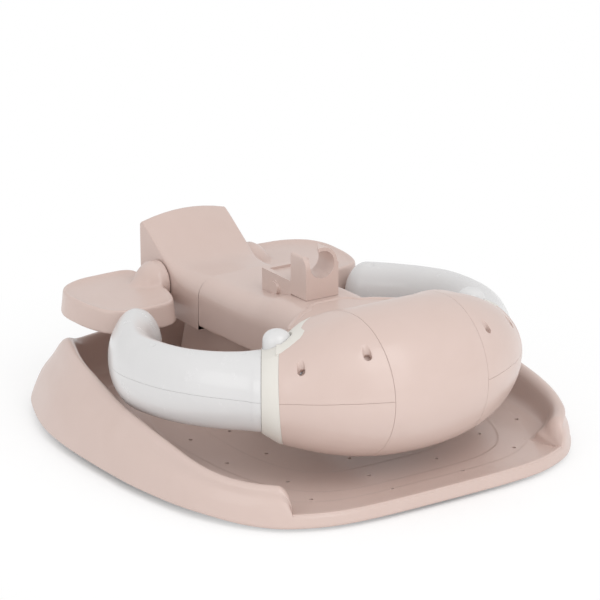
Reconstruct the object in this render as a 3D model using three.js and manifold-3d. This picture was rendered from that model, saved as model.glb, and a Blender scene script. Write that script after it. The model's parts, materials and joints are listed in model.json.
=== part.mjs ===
// Baby bath seat: tray on suction feet, saddle, front bumper, lifting arms and fold-up seat wings.
// Millimetres, +Z up, front of the seat towards -Y, origin on the floor under the middle.
import * as THREE from 'three'
import * as BufferGeometryUtils from 'three/addons/utils/BufferGeometryUtils.js'
import Module from 'manifold-3d'

const wasm = await Module()
wasm.setup()

// General clearances
const wall = 3
const seatGap = 0.3
const seamGap = 0.4
const runningGap = 0.6
const overrun = 5
const weldDistance = 0.004
const mergeDistance = 0.0001

// Tray outline and rim
const trayHalfWidth = 214
const trayFrontReach = 233
const trayRearReach = 233
const trayEdgeBottom = 6
const trayEdgeTop = 11
const floorTop = 13.8
const floorThickness = 3
const lipHeight = 16.5
const lipInset = 4.5
const lipFloorInset = 9
const rimEndHalfGap = 142
const rimEndRound = 11
const rimEndHeight = 38
const rimWingHeight = 69
const rimInset = 36
const rimCrestRound = 6.5
const rimWallRun = 8.5
const rimFloorFillet = 8
const terraceDrop = 0.7
const terraceRun = 1.5

// Drain holes and feet
const drainRadius = 2.1
const footSideShare = 0.5841
const footFrontShare = -0.5794
const footRearShare = 0.6009
const footRadius = 23
const footLipThickness = 1.6
const footNeckRadius = 7
const footHeadRadius = 10.5
const footHeadThickness = 3

// Pedestal and chassis
const pedestalY = 105
const pedestalHalfWidth = 34
const pedestalHalfLength = 62
const pedestalTopShare = 0.86
const pedestalFlange = 9
const pedestalFlangeThickness = 4
const chassisBottom = 78
const chassisPlate = 4
const chassisHalfWidth = 42
const chassisRibX = 27
const chassisRibThickness = 3
const chassisRibTop = 112
const chassisFrontY = -86
const chassisRearY = 188
const pedestalScrewX = 20
const pedestalScrewSpreadY = 40

// Saddle
const saddleHalfWidth = 46
const saddleRearY = 93
const saddleFrontY = -128
const saddleCorner = 19
const saddleCheekHeight = 30
const saddleRearTop = 119.6
const platformTop = 130.6
const platformHalfWidth = 27.6
const saddleRearBottom = 73
const saddleFrontBottom = 80

// Neck flange over the bumper
const flangeTipShare = 0.95
const flangeGapOut = 39
const flangeGapUp = 52
const flangeRidgeOut = 79
const flangeRidgeUp = 46.5
const flangeSkirtUp = 18
const flangeEdgeRound = 3.2
const flangeTipGapOut = 18
const flangeTipGapUp = 42
const flangeTipRidgeOut = 33
const flangeTipRidgeUp = 43
const flangeTipSkirtUp = 30

// Back body
const backHalfWidth = 46.2
const backSeatTop = 117.5
const backRearY = 198
const backTopZ = 148.5
const backCrown = 6
const backBottom = 70
const backCorner = 8
const backWall = 3

// Seat wings and their axle
const axleY = 161
const axleZ = 99.5
const axleRadius = 5
const knuckleRadius = 20
const knuckleGap = 0.8
const knuckleLength = 11
const knuckleReach = 36
const wingTop = 99.5
const wingLipTop = 102.5
const wingBottom = 79.5
const wingLipWidth = 6
const wingPlate = 3

// Bumper
const bumperReach = 101.2
const bumperCentreY = -165.5
const bumperSweep = 33.5
const bumperCentreZ = 99
const bumperDrop = 7
const bumperRadius = 65
const bumperTaper = 18
const bumperFullnessShare = 0.04
const bumperPathPowerShare = 2.3
const bumperTaperPowerShare = 2.6
const bumperTurn = 33
const centreCoverHalf = 47.8
const bumperSeamZ = 96
const bumperWall = 3
const counterboreRadius = 5.2
const counterboreDepth = 9
const screwHeadRadius = 4.2
const screwHeadThickness = 2.6
const screwShankRadius = 1.9
const screwShankLength = 14
const outerScrewX = 107
const outerScrewY = -172.5
const outerScrewZ = 125.6
const innerScrewX = 59.8
const innerScrewY = -199
const innerScrewZ = 137

// Collars, arms and release buttons
const collarWidth = 17
const collarLead = 1
const collarFrontRadius = 45
const collarRearRadius = 36
const armCentreZ = 92
const armRootRadius = 35
const armHalfWidth = 21
const armTrayInset = 49.8
const armTipTurn = 48.24
const armTipY = 68.5
const armTipDrop = 12
const armSwivelRadius = 22
const armSwivelLength = 14
const buttonX = 101.2
const buttonY = -126.5
const buttonRadius = 12.9
const buttonTop = 147
const buttonTravel = 3
const buttonSkirt = 6
const springRadius = 4
const springWire = 1
const springCoils = 4
const springLength = 12

// Hand shower holder
const holderHalfWidth = 17.1
const holderFrontY = -43.2
const holderHookDepth = 25
const holderRearY = 29
const holderBoreRadius = 12.6
const holderBoreZ = 161.6
const holderPostTop = 170
const holderPostRound = 12
const holderTailTop = 142.6
const holderCorner = 5
const holderTabRadius = 7
const holderTabY = 10
const holderTabReach = 3

// Materials
function plastic(colour, roughness) {
  return new THREE.MeshStandardMaterial({ color: colour, roughness, metalness: 0 })
}

const pinkPlastic = () => plastic(0xd9c4bb, 0.5)
const whitePlastic = () => plastic(0xe9eaec, 0.2)
const collarPlastic = () => plastic(0xebe8e2, 0.6)
const framePlastic = () => plastic(0xc9c5c0, 0.6)
const footRubber = () => plastic(0xd8d6d2, 0.7)
const screwSteel = () => new THREE.MeshStandardMaterial({ color: 0xa9adb2, roughness: 0.35, metalness: 1 })

// Solids
function solidOf(geometry) {
  const bare = geometry.index ? geometry : BufferGeometryUtils.mergeVertices(geometry)
  bare.deleteAttribute('normal')
  bare.deleteAttribute('uv')
  const merged = BufferGeometryUtils.mergeVertices(bare, mergeDistance)
  return new wasm.Manifold(new wasm.Mesh({
    numProp: 3,
    vertProperties: new Float32Array(merged.attributes.position.array),
    triVerts: new Uint32Array(merged.index.array),
  }))
}

// Corners closer than the weld distance become one, and the slivers between them go
function welded(geometry) {
  const merged = BufferGeometryUtils.mergeVertices(geometry, weldDistance)
  const index = merged.index.array
  const kept = []
  for (let i = 0; i < index.length; i += 3) {
    const [a, b, c] = index.slice(i, i + 3)
    if (a !== b && b !== c && c !== a) kept.push(a, b, c)
  }
  merged.setIndex(kept)
  return merged
}

function meshOf(name, solid, material) {
  const geometry = welded(solidGeometry(solid))
  geometry.computeVertexNormals()
  const mesh = new THREE.Mesh(geometry, material)
  mesh.name = name
  return mesh
}

// Closed body through rings of equally many points, each ring a list of THREE.Vector3
function loft(rings) {
  const count = rings[0].length
  const positions = []
  const triangles = []
  rings.forEach(ring => ring.forEach(p => positions.push(p.x, p.y, p.z)))
  for (let r = 0; r + 1 < rings.length; r++) {
    for (let i = 0; i < count; i++) {
      const a = r * count + i
      const b = r * count + (i + 1) % count
      triangles.push(a, b, b + count, a, b + count, a + count)
    }
  }
  const ends = [rings[0], rings[rings.length - 1]]
  ends.forEach((ring, end) => {
    const middle = ring.reduce((sum, p) => sum.add(p), new THREE.Vector3()).divideScalar(count)
    const hub = positions.length / 3
    positions.push(middle.x, middle.y, middle.z)
    const start = end * (rings.length - 1) * count
    for (let i = 0; i < count; i++) {
      const a = start + i
      const b = start + (i + 1) % count
      triangles.push(...(end ? [hub, a, b] : [hub, b, a]))
    }
  })
  const geometry = new THREE.BufferGeometry()
  geometry.setAttribute('position', new THREE.BufferAttribute(new Float32Array(positions), 3))
  geometry.setIndex(triangles)
  const solid = solidOf(geometry)
  return solid.volume() < 0 ? solidOf(turnedOut(geometry)) : solid
}

function turnedOut(geometry) {
  const flipped = geometry.clone()
  const index = flipped.index.array
  for (let i = 0; i < index.length; i += 3) {
    const kept = index[i]
    index[i] = index[i + 1]
    index[i + 1] = kept
  }
  return flipped
}

function box(fromX, toX, fromY, toY, fromZ, toZ) {
  const geometry = new THREE.BoxGeometry(toX - fromX, toY - fromY, toZ - fromZ)
  geometry.translate((fromX + toX) / 2, (fromY + toY) / 2, (fromZ + toZ) / 2)
  return solidOf(geometry)
}

// Round bar between two points
function bar(from, to, radius, sides = 20, endRadius = radius) {
  const axis = to.clone().sub(from)
  const geometry = new THREE.CylinderGeometry(endRadius, radius, axis.length(), sides)
  geometry.applyQuaternion(new THREE.Quaternion().setFromUnitVectors(up, axis.clone().normalize()))
  const middle = from.clone().add(to).divideScalar(2)
  geometry.translate(middle.x, middle.y, middle.z)
  return solidOf(geometry)
}

const up = new THREE.Vector3(0, 1, 0)
const point = (x, y, z) => new THREE.Vector3(x, y, z)

// Body of revolution about a vertical line, from radius and height pairs
function turned(profile, x, y, sides = 16) {
  const points = profile.map(([radius, height]) => new THREE.Vector2(radius, height))
  const geometry = new THREE.LatheGeometry(points, sides)
  geometry.rotateX(Math.PI / 2)
  geometry.translate(x, y, 0)
  const solid = solidOf(geometry)
  return solid.volume() < 0 ? solidOf(turnedOut(solidGeometry(solid))) : solid
}

function solidGeometry(solid) {
  const data = solid.getMesh()
  const geometry = new THREE.BufferGeometry()
  geometry.setAttribute('position', new THREE.BufferAttribute(new Float32Array(data.vertProperties), 3))
  geometry.setIndex(Array.from(data.triVerts))
  return geometry
}

function smooth(share) {
  const t = Math.min(1, Math.max(0, share))
  return t * t * (3 - 2 * t)
}

const mix = (from, to, share) => from + (to - from) * share

// Value between rows of place and value shares
function fromShares(shares, place) {
  for (let i = 0; i + 1 < shares.length; i++) {
    const [start, startValue] = shares[i]
    const [end, endValue] = shares[i + 1]
    if (place <= end || i + 2 === shares.length) {
      return mix(startValue, endValue, (place - start) / (end - start))
    }
  }
  return 0
}

// Tray: half outline from the front to the rear, as shares of half width and reach
const trayOutlineShares = [
  [0, -1], [0.173, -0.999], [0.346, -0.994], [0.525, -0.97], [0.694, -0.899], [0.76, -0.842],
  [0.807, -0.791], [0.858, -0.71], [0.902, -0.619], [0.937, -0.513], [0.963, -0.389], [0.984, -0.255],
  [0.994, -0.1], [1, 0.067], [0.996, 0.252], [0.972, 0.419], [0.911, 0.601], [0.85, 0.728], [0.729, 0.858],
  [0.55, 0.945], [0.34, 0.988], [0.17, 0.998], [0, 1],
]
const rimHeightShares = [
  [-1, 0], [-0.716, 0], [-0.54, 0.16], [-0.397, 0.316], [-0.217, 0.474], [-0.052, 0.594], [0.104, 0.777],
  [0.26, 0.916], [0.43, 0.984], [0.65, 1], [0.76, 0.86], [0.88, 0.46], [1, 0.35],
]
const rimInsetShares = [
  [-1, 0.35], [-0.716, 0.342], [-0.54, 0.458], [-0.397, 0.597], [-0.217, 0.706], [-0.052, 0.744], [0.104, 0.847],
  [0.26, 0.93], [0.43, 0.97], [0.65, 0.994], [1, 1],
]
const rimEndShares = [0, 0.03, 0.14, 0.34, 0.62, 1]
const bevelShares = [[0.27, 0.41], [0.58, 0.7]]
const drainShares = [
  [0.373, -0.064], [0.379, -0.334], [0.124, -0.543], [0.563, -0.064], [0.572, -0.339], [0.473, -0.613],
  [0.165, -0.725], [0.701, -0.575], [0.497, -0.802], [0.172, -0.882], [0.469, 0.198],
]
const terraceShares = [{ scaleShare: 0.647, centreShare: -0.48 }, { scaleShare: 0.459, centreShare: -0.34 }]
const openFrontSteps = 4
const rimSteps = 15

function trayPlace(xShare, yShare) {
  return point(xShare * trayHalfWidth, yShare * (yShare < 0 ? trayFrontReach : trayRearReach), 0)
}

function trayStations() {
  const half = new THREE.CatmullRomCurve3(trayOutlineShares.map(([x, y]) => trayPlace(x, y)), false, 'centripetal')
  const length = half.getLength()
  let rimStart = 0
  while (half.getPointAt(rimStart).x < rimEndHalfGap) rimStart += 1 / 1024
  const rimRound = rimStart + rimEndRound / length
  const places = []
  for (let i = 0; i < openFrontSteps; i++) places.push([rimStart * i / openFrontSteps, 0])
  rimEndShares.forEach(share => places.push([mix(rimStart, rimRound, share), share]))
  for (let i = 1; i <= rimSteps; i++) places.push([mix(rimRound, 1, i / rimSteps), 1])
  const right = places.map(([along, end]) => {
    const edge = half.getPointAt(along)
    const run = half.getTangentAt(along)
    if (along === 0 || along === 1) run.set(along === 0 ? 1 : -1, 0, 0)
    return { edge, inward: point(-run.y, run.x, 0).normalize(), end }
  })
  const left = right.slice(1, -1).reverse().map(({ edge, inward, end }) => (
    { edge: point(-edge.x, edge.y, 0), inward: point(-inward.x, inward.y, 0), end }
  ))
  return [...right, ...left]
}

// Inset and height pairs of one cross-section of the tray, from its floor edge out and back underneath
function traySection({ edge, end }) {
  const reach = edge.y < 0 ? trayFrontReach : trayRearReach
  const fullHeight = mix(rimEndHeight, rimWingHeight, fromShares(rimHeightShares, edge.y / reach))
  const raised = end > 0
  const rise = Math.sqrt(Math.max(0, 1 - (1 - end) ** 2))
  const crestZ = raised ? mix(lipHeight, fullHeight, rise) : lipHeight
  const crestIn = raised ? rimInset * fromShares(rimInsetShares, edge.y / reach) : lipInset
  const round = raised ? rimCrestRound : (lipFloorInset - lipInset) * 0.4
  const wallIn = crestIn + (raised ? rimWallRun : (lipFloorInset - lipInset) * 0.6)
  const fillet = Math.min(raised ? rimFloorFillet : lipFloorInset - wallIn, (crestZ - floorTop) * 0.6)
  const floorIn = raised ? wallIn + rimFloorFillet : lipFloorInset
  const bevel = bevelShares.map(([inShare, upShare]) => [
    crestIn * inShare, mix(trayEdgeTop, crestZ, raised ? upShare : upShare * 0.9 + 0.1)])
  const under = raised ? 1 : 0
  const edgeIn = floorThickness * 1.3
  const top = [
    [floorIn, floorTop], [mix(wallIn, floorIn, 0.35), floorTop + fillet * 0.3], [wallIn, floorTop + fillet],
    [crestIn + round, crestZ - round * (raised ? 1.1 : 0.4)], [crestIn + round * 0.55, crestZ - round * 0.25],
    [crestIn, crestZ], [crestIn - round * 0.8, crestZ - round * 0.3], bevel[1], bevel[0],
    [floorThickness * 0.1, trayEdgeTop], [0, trayEdgeBottom + floorThickness * 0.5],
    [floorThickness * 0.4, trayEdgeBottom],
  ]
  const bottomLevel = floorTop - floorThickness
  const lowered = (height, share) => (under ? Math.max(height, bottomLevel) : mix(trayEdgeBottom, bottomLevel, share))
  const innerIn = wallIn - floorThickness
  const underRings = [
    [edgeIn, trayEdgeBottom],
    [under ? bevel[0][0] + floorThickness : edgeIn + seatGap, lowered(bevel[0][1] - floorThickness, 0.5)],
    [under ? bevel[1][0] + floorThickness * 0.6 : edgeIn + 2 * seatGap, lowered(bevel[1][1] - floorThickness, 0.9)],
    [under ? crestIn - round * 0.1 : edgeIn + 4 * seatGap, lowered(crestZ - floorThickness, 1)],
    [under ? innerIn : lipFloorInset * 0.8, lowered(floorTop + fillet, 1)],
    [floorIn, bottomLevel],
  ]
  return [...top, ...underRings]
}

function trayShell() {
  const stations = trayStations()
  const sections = stations.map(traySection)
  const ringAt = index => stations.map(({ edge, inward }, i) => {
    const [inset, height] = sections[i][index]
    return point(edge.x + inward.x * inset, edge.y + inward.y * inset, height)
  })
  const scaled = (scaleShare, centreShare, height) => stations.map(({ edge }) => {
    const middle = centreShare * trayFrontReach
    return point(edge.x * scaleShare, mix(middle, edge.y, scaleShare), height)
  })
  const [outer, inner] = terraceShares
  const run = terraceRun / trayHalfWidth
  const rings = [
    scaled(inner.scaleShare - run, inner.centreShare, floorTop - 2 * terraceDrop),
    scaled(inner.scaleShare, inner.centreShare, floorTop - terraceDrop),
    scaled(outer.scaleShare - run, outer.centreShare, floorTop - terraceDrop),
    scaled(outer.scaleShare, outer.centreShare, floorTop),
  ]
  for (let i = 0; i < sections[0].length; i++) rings.push(ringAt(i))
  const bottom = floorTop - floorThickness - terraceDrop
  rings.push(scaled(outer.scaleShare, outer.centreShare, bottom))
  return loft(rings)
}

const footPlaces = [
  ['front_left', -1, footFrontShare], ['front_right', 1, footFrontShare],
  ['rear_left', -1, footRearShare], ['rear_right', 1, footRearShare],
].map(([word, side, alongShare]) => [word, trayPlace(side * footSideShare, alongShare)])
const plinthHeight = 2
const plinthTop = floorTop + plinthHeight
const pedestalBottom = plinthTop + seatGap
const floorUnder = floorTop - floorThickness - terraceDrop
const footNeckTop = floorUnder - seatGap
const bossWall = 3
const pedestalScrewPlaces = [-1, 1].flatMap(sideX => [-1, 1].map(sideY => (
  [sideX * pedestalScrewX, pedestalY + sideY * pedestalScrewSpreadY])))

// Upright rounded block: rings of the same outline at several heights, each with its own scale
function roundedBlock(x, y, halfX, halfY, levels, steps = 16, power = 4) {
  return loft(levels.map(([height, scaleShare, grow = 0]) => {
    const ring = []
    for (let i = 0; i < steps; i++) {
      const angle = i / steps * 2 * Math.PI
      const c = Math.cos(angle)
      const s = Math.sin(angle)
      const reach = (Math.abs(c) ** power + Math.abs(s) ** power) ** (-1 / power)
      ring.push(point(x + c * reach * (halfX * scaleShare + grow), y + s * reach * (halfY * scaleShare + grow), height))
    }
    return ring
  }))
}

function baseTray() {
  let tray = trayShell()
  tray = tray.add(roundedBlock(0, pedestalY, pedestalHalfWidth, pedestalHalfLength,
    [[floorUnder + terraceDrop, 1, pedestalFlange + bossWall], [plinthTop, 1, pedestalFlange + terraceRun]]))
  footPlaces.forEach(([, { x, y }]) => {
    const boss = bar(point(x, y, footNeckTop - bossWall), point(x, y, floorTop - terraceDrop),
      footNeckRadius + bossWall, 14)
    const socket = bar(point(x, y, -overrun), point(x, y, floorUnder), footNeckRadius + seatGap, 14)
    tray = tray.add(boss).subtract(socket)
  })
  drainShares.forEach(([xShare, yShare]) => [-1, 1].forEach(side => {
    const place = trayPlace(xShare * side, yShare)
    tray = tray.subtract(bar(point(place.x, place.y, 0), point(place.x, place.y, floorTop + overrun), drainRadius, 6))
  }))
  pedestalScrewPlaces.forEach(([x, y]) => {
    tray = tray.subtract(bar(point(x, y, 0), point(x, y, plinthTop + overrun), screwShankRadius + seatGap, 8))
  })
  return tray
}

// Suction foot: thin cup on a neck that plugs into the tray's boss
function suctionFoot({ x, y }) {
  const cupRise = footNeckTop * 0.55
  const lip = footLipThickness
  return turned([
    [0, cupRise * 0.5], [footRadius * 0.6, cupRise * 0.34], [footRadius - 2 * lip, 0], [footRadius - lip * 0.4, 0],
    [footRadius, lip * 0.4], [footRadius * 0.84, lip * 1.8], [footNeckRadius, cupRise],
    [footNeckRadius, footNeckTop], [0, footNeckTop],
  ], x, y, 14)
}

function pedestal() {
  const top = chassisBottom - seatGap
  const outer = roundedBlock(0, pedestalY, pedestalHalfWidth, pedestalHalfLength, [
    [pedestalBottom, 1, pedestalFlange], [pedestalBottom + pedestalFlangeThickness, 1, pedestalFlange],
    [pedestalBottom + 2 * pedestalFlangeThickness, 1], [top - 2 * pedestalFlangeThickness, pedestalTopShare],
    [top - pedestalFlangeThickness, 1], [top, 1]])
  const inner = roundedBlock(0, pedestalY, pedestalHalfWidth, pedestalHalfLength, [
    [pedestalBottom - overrun, 1, -wall], [pedestalBottom + 2 * pedestalFlangeThickness, 1, -wall],
    [top - 2 * pedestalFlangeThickness, pedestalTopShare, -wall]])
  let body = outer.subtract(inner)
  pedestalScrewPlaces.forEach(([x, y]) => {
    const post = bar(point(x, y, pedestalBottom), point(x, y, top - wall), screwShankRadius + bossWall, 8)
    const pilot = bar(point(x, y, pedestalBottom - overrun),
      point(x, y, pedestalBottom + screwShankLength), screwShankRadius + seatGap, 8)
    body = body.add(post).subtract(pilot)
  })
  return body
}

// Pan-head screw along an axis, head seat at its place and shank pointing along the axis
function screw(place, axis) {
  const at = distance => place.clone().addScaledVector(axis, distance)
  const head = bar(at(-screwHeadThickness), place, screwHeadRadius * 0.8, 8, screwHeadRadius)
  const shank = bar(at(-screwHeadThickness * 0.5), at(screwShankLength), screwShankRadius, 6)
  return head.add(shank)
}

// Cross-section of the saddle and of the back body at one Y, an arch open to nothing, bottom edge closed
function archRing(y, halfWidth, bottom, top, corner, cheekHeight = corner, crown = 0) {
  const arcSteps = 4
  const rightSide = [point(halfWidth, y, bottom), point(halfWidth, y, mix(bottom, top - cheekHeight, 0.5))]
  for (let i = 0; i <= arcSteps; i++) {
    const angle = i / arcSteps * Math.PI / 2
    rightSide.push(point(halfWidth - corner + corner * Math.cos(angle), y,
      top - cheekHeight + cheekHeight * Math.sin(angle)))
  }
  rightSide.push(point(platformHalfWidth * 0.92, y, top + crown * 0.7))
  rightSide.push(point(platformHalfWidth * 0.5, y, top + crown * 0.92))
  const leftSide = rightSide.slice().reverse().map(p => point(-p.x, p.y, p.z))
  return [...rightSide, point(0, y, top + crown), ...leftSide]
}

// Places along the saddle: share of its length from the front, and share of the platform's rise
const saddleShares = [[1, 0], [0.86, 0.04], [0.7, 0.2], [0.56, 0.62], [0.48, 0.96], [0.4, 1], [0, 1]]

function saddleBody(thickness) {
  const rings = saddleShares.map(([alongShare, riseShare]) => {
    const y = mix(saddleFrontY, saddleRearY, alongShare) + (alongShare === 1 ? thickness && overrun : 0)
    const bottom = mix(saddleFrontBottom, saddleRearBottom, alongShare) - (thickness ? overrun * 2 : 0)
    const top = mix(saddleRearTop, platformTop, riseShare) - thickness
    const cheek = mix(saddleCorner, saddleCheekHeight, riseShare) - thickness * 0.7
    return archRing(y, saddleHalfWidth - thickness, bottom, top, saddleCorner - thickness * 0.7, cheek)
  })
  return loft(rings)
}

// Bumper path: place, heading and radius at a share of its reach, -1 at the left collar, 1 at the right
function bumperStation(share) {
  const out = Math.abs(share)
  const turn = THREE.MathUtils.degToRad(bumperTurn) * out ** 1.4 * Math.sign(share)
  return {
    centre: point(share * bumperReach, bumperCentreY + bumperSweep * out ** bumperPathPowerShare,
      bumperCentreZ - bumperDrop * out ** bumperTaperPowerShare),
    rearward: point(-Math.sin(turn), Math.cos(turn), 0),
    along: point(Math.cos(turn), Math.sin(turn), 0),
    radius: bumperRadius - (bumperRadius - collarFrontRadius) * out ** bumperTaperPowerShare,
  }
}

function bumperRing(share, offset, sides, past = 0) {
  const { centre, rearward, along, radius } = bumperStation(share)
  const ring = []
  const fullness = bumperFullnessShare * Math.cos(share * Math.PI / 2)
  for (let i = 0; i < sides; i++) {
    const angle = (i + 0.5) / sides * 2 * Math.PI
    const reach = (radius + offset) * (1 - fullness * Math.sin(angle))
    ring.push(centre.clone().addScaledVector(rearward, reach * Math.cos(angle)).addScaledVector(along, past)
      .add(point(0, 0, reach * Math.sin(angle))))
  }
  return ring
}

const bumperSides = 24
const bumperSteps = 10

function bumperBody(offset, past = 0, reachShare = 1, sides = bumperSides) {
  const rings = []
  for (let i = 0; i <= bumperSteps; i++) {
    rings.push(bumperRing(mix(-reachShare, reachShare, i / bumperSteps), offset, sides))
  }
  if (past) {
    rings.unshift(bumperRing(-reachShare, offset, sides, -past))
    rings.push(bumperRing(reachShare, offset, sides, past))
  }
  return loft(rings)
}

// Neck flange: crescent lip of the saddle that hugs the rear top of the bumper
function neckFlange() {
  const rings = []
  const steps = 16
  for (let i = 0; i <= steps; i++) {
    const share = mix(-flangeTipShare, flangeTipShare, i / steps)
    const { centre, rearward } = bumperStation(share)
    const tip = smooth((Math.abs(share) - 0.35) / 0.6)
    const at = (out, height) => centre.clone().addScaledVector(rearward, out).add(point(0, 0, height))
    const gapOut = mix(flangeGapOut, flangeTipGapOut, tip)
    const gapUp = mix(flangeGapUp, flangeTipGapUp, tip)
    const ridgeOut = mix(flangeRidgeOut, flangeTipRidgeOut, tip)
    const ridgeUp = mix(flangeRidgeUp, flangeTipRidgeUp, tip)
    const skirt = mix(flangeSkirtUp, flangeTipSkirtUp, tip)
    const edge = flangeEdgeRound
    rings.push([
      at(gapOut, gapUp), at(mix(gapOut, ridgeOut, 0.5), mix(gapUp, ridgeUp, 0.5) + edge * 0.4),
      at(ridgeOut - edge, ridgeUp), at(ridgeOut - edge * 0.3, ridgeUp - edge * 0.3), at(ridgeOut, ridgeUp - edge),
      at(ridgeOut, skirt), at(gapOut, skirt - edge), at(gapOut * 0.7, gapUp * 0.7),
    ].reverse())
  }
  return loft(rings)
}

function saddleShell() {
  const outer = saddleBody(0)
  const flange = neckFlange()
  const hollow = saddleBody(wall)
  return outer.add(flange).subtract(hollow).subtract(bumperBody(seamGap))
}

// Back body: seat surface that turns up into the reclined back board
const backSlopeShares = [[0, 0.06, 1], [0.18, 0, 0.85], [0.36, 0, 0.7], [0.45, 0.045, 0.55], [0.54, 0.15, 0.42],
  [0.64, 0.32, 0.36], [0.91, 0.9, 0.34], [0.97, 1, 0.34], [1, 0.94, 0.34]]

function backRings(thickness) {
  const last = backSlopeShares.length - 1
  return backSlopeShares.map(([alongShare, riseShare, cornerShare], i) => {
    const y = mix(saddleRearY + seamGap, backRearY, alongShare)
    const top = mix(backSeatTop, backTopZ, riseShare)
    const crown = backCrown * smooth((alongShare - 0.42) / 0.58)
    const place = thickness && i === 0 ? y - overrun : i === last ? y - thickness : y
    const corner = Math.max(saddleCorner * cornerShare - thickness * 0.7, backWall)
    return archRing(place, backHalfWidth - thickness, backBottom - (thickness ? 2 * overrun : 0),
      top - thickness * 1.15, corner, corner, crown)
  })
}

function backShell() {
  const bore = bar(point(-backHalfWidth - overrun, axleY, axleZ), point(backHalfWidth + overrun, axleY, axleZ),
    axleRadius + seatGap, 16)
  return loft(backRings(0)).subtract(loft(backRings(backWall))).subtract(bore)
}

const chassisBackHalfWidth = backHalfWidth - backWall - seatGap

function seatChassis() {
  const inSaddle = saddleHalfWidth - wall - seatGap
  const rear = backRearY - backWall - seatGap
  let chassis = box(-inSaddle, inSaddle, chassisFrontY, saddleRearY + seatGap, chassisBottom,
    chassisBottom + chassisPlate)
  chassis = chassis.add(box(-chassisHalfWidth, chassisHalfWidth, saddleRearY - overrun, rear, chassisBottom,
    chassisBottom + chassisPlate))
  chassis = chassis.add(box(-chassisBackHalfWidth, chassisBackHalfWidth, axleY - knuckleRadius, rear - backCorner,
    chassisBottom, chassisBottom + chassisPlate));
  [-1, 1].forEach(side => {
    const x = side * chassisRibX
    chassis = chassis.add(box(x - chassisRibThickness / 2, x + chassisRibThickness / 2, chassisFrontY, chassisRearY,
      chassisBottom, chassisRibTop))
  })
  const crossPlaces = [saddleRearY, mix(saddleRearY, chassisFrontY, 0.5), axleY - 2 * axleRadius]
  crossPlaces.forEach(y => {
    chassis = chassis.add(box(-chassisRibX, chassisRibX, y - chassisRibThickness / 2, y + chassisRibThickness / 2,
      chassisBottom, mix(chassisBottom, chassisRibTop, 0.5)))
  })
  const bore = bar(point(-backHalfWidth, axleY, axleZ), point(backHalfWidth, axleY, axleZ), axleRadius + seatGap, 16)
  return chassis.subtract(bore)
}

// Seat wing outline of the right side in millimetre places, drawn by its named corners
const wingSideGap = 7.3
const wingReach = 145.4
const wingDepth = 112
const wingFrontY = 90
const wingInnerX = backHalfWidth + wingSideGap
const knuckleInnerX = backHalfWidth + knuckleGap
const knuckleOuterX = knuckleInnerX + knuckleLength
const wingOutlineShares = [
  [0.007, 0.87], [0.05, 0.965], [0.13, 0.998], [0.367, 1], [0.668, 0.975], [0.889, 0.87], [0.989, 0.7],
  [1, 0.5], [0.972, 0.29], [0.897, 0.12], [0.794, 0.05], [0.604, 0.015], [0.4, 0.01], [0.25, 0.03],
  [0.165, 0.085], [0.11, 0.17], [0.065, 0.28], [0.03, 0.4], [0.008, 0.52], [0, 0.66],
]

function wingOutline(side, steps = 24) {
  const corners = wingOutlineShares.map(([xShare, yShare]) => (
    point(side * mix(wingInnerX, wingReach, xShare), wingFrontY + yShare * wingDepth, 0)))
  const curve = new THREE.CatmullRomCurve3(corners, true, 'centripetal')
  return curve.getSpacedPoints(steps).slice(0, steps)
}

function wingLoft(side, levels) {
  const outline = wingOutline(side)
  const middle = point(side * mix(wingInnerX, wingReach, 0.5), wingFrontY + wingDepth * 0.55, 0)
  const ordered = side < 0 ? outline.reverse() : outline
  return loft(levels.map(([height, inset]) => ordered.map(p => {
    const toMiddle = middle.clone().sub(p)
    const share = inset / Math.max(toMiddle.length(), wingLipWidth)
    return point(p.x + toMiddle.x * share, p.y + toMiddle.y * share, height)
  })))
}

const wingSplit = wingBottom + wingPlate

// Fairing from the knuckle down onto the pad: reach, drop and radius of each ring
const fairingShares = [[0.15, 0, 0.97], [0.34, 0.02, 0.94], [0.5, 0.1, 0.82], [0.64, 0.26, 0.66], [1, 0.58, 0.44]]

function knuckleFairing(side, sides = 20) {
  return loft(fairingShares.map(([reachShare, dropShare, radiusShare]) => {
    const x = side * (knuckleInnerX + knuckleReach * reachShare)
    const z = axleZ - knuckleRadius * dropShare
    const ring = []
    for (let i = 0; i < sides; i++) {
      const angle = (i + 0.5) / sides * 2 * Math.PI
      const radius = knuckleRadius * radiusShare
      ring.push(point(x, axleY + radius * Math.cos(angle), z + radius * Math.sin(angle)))
    }
    return ring
  }))
}

function wingPad(side) {
  const lip = wingLipWidth
  let pad = wingLoft(side, [
    [wingSplit + seamGap, 0], [wingTop - lip * 0.2, 0], [wingLipTop, lip * 0.35],
    [wingLipTop - lip * 0.1, lip], [wingTop, lip * 2.2]])
  const hollow = wingLoft(side, [[wingSplit - overrun, wall], [wingTop - wall - lip * 0.2, wall * 1.2]])
  const inner = side * knuckleInnerX
  const outer = side * knuckleOuterX
  const knuckle = bar(point(inner, axleY, axleZ), point(outer, axleY, axleZ), knuckleRadius, 20)
  const fairing = knuckleFairing(side)
  const under = box(Math.min(inner, side * wingReach), Math.max(inner, side * wingReach), wingFrontY - overrun,
    wingFrontY + wingDepth + overrun, 0, wingSplit + seamGap)
  const bore = bar(point(inner - side * overrun, axleY, axleZ), point(outer + side * seatGap, axleY, axleZ),
    axleRadius + seatGap, 16)
  pad = pad.subtract(hollow).add(knuckle).add(fairing.subtract(under))
  return pad.subtract(box(Math.min(inner, side * wingReach), Math.max(inner, side * wingReach), wingFrontY - overrun,
    wingFrontY + wingDepth + overrun, 0, wingBottom - overrun * 0.5)).subtract(bore)
}

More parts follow.
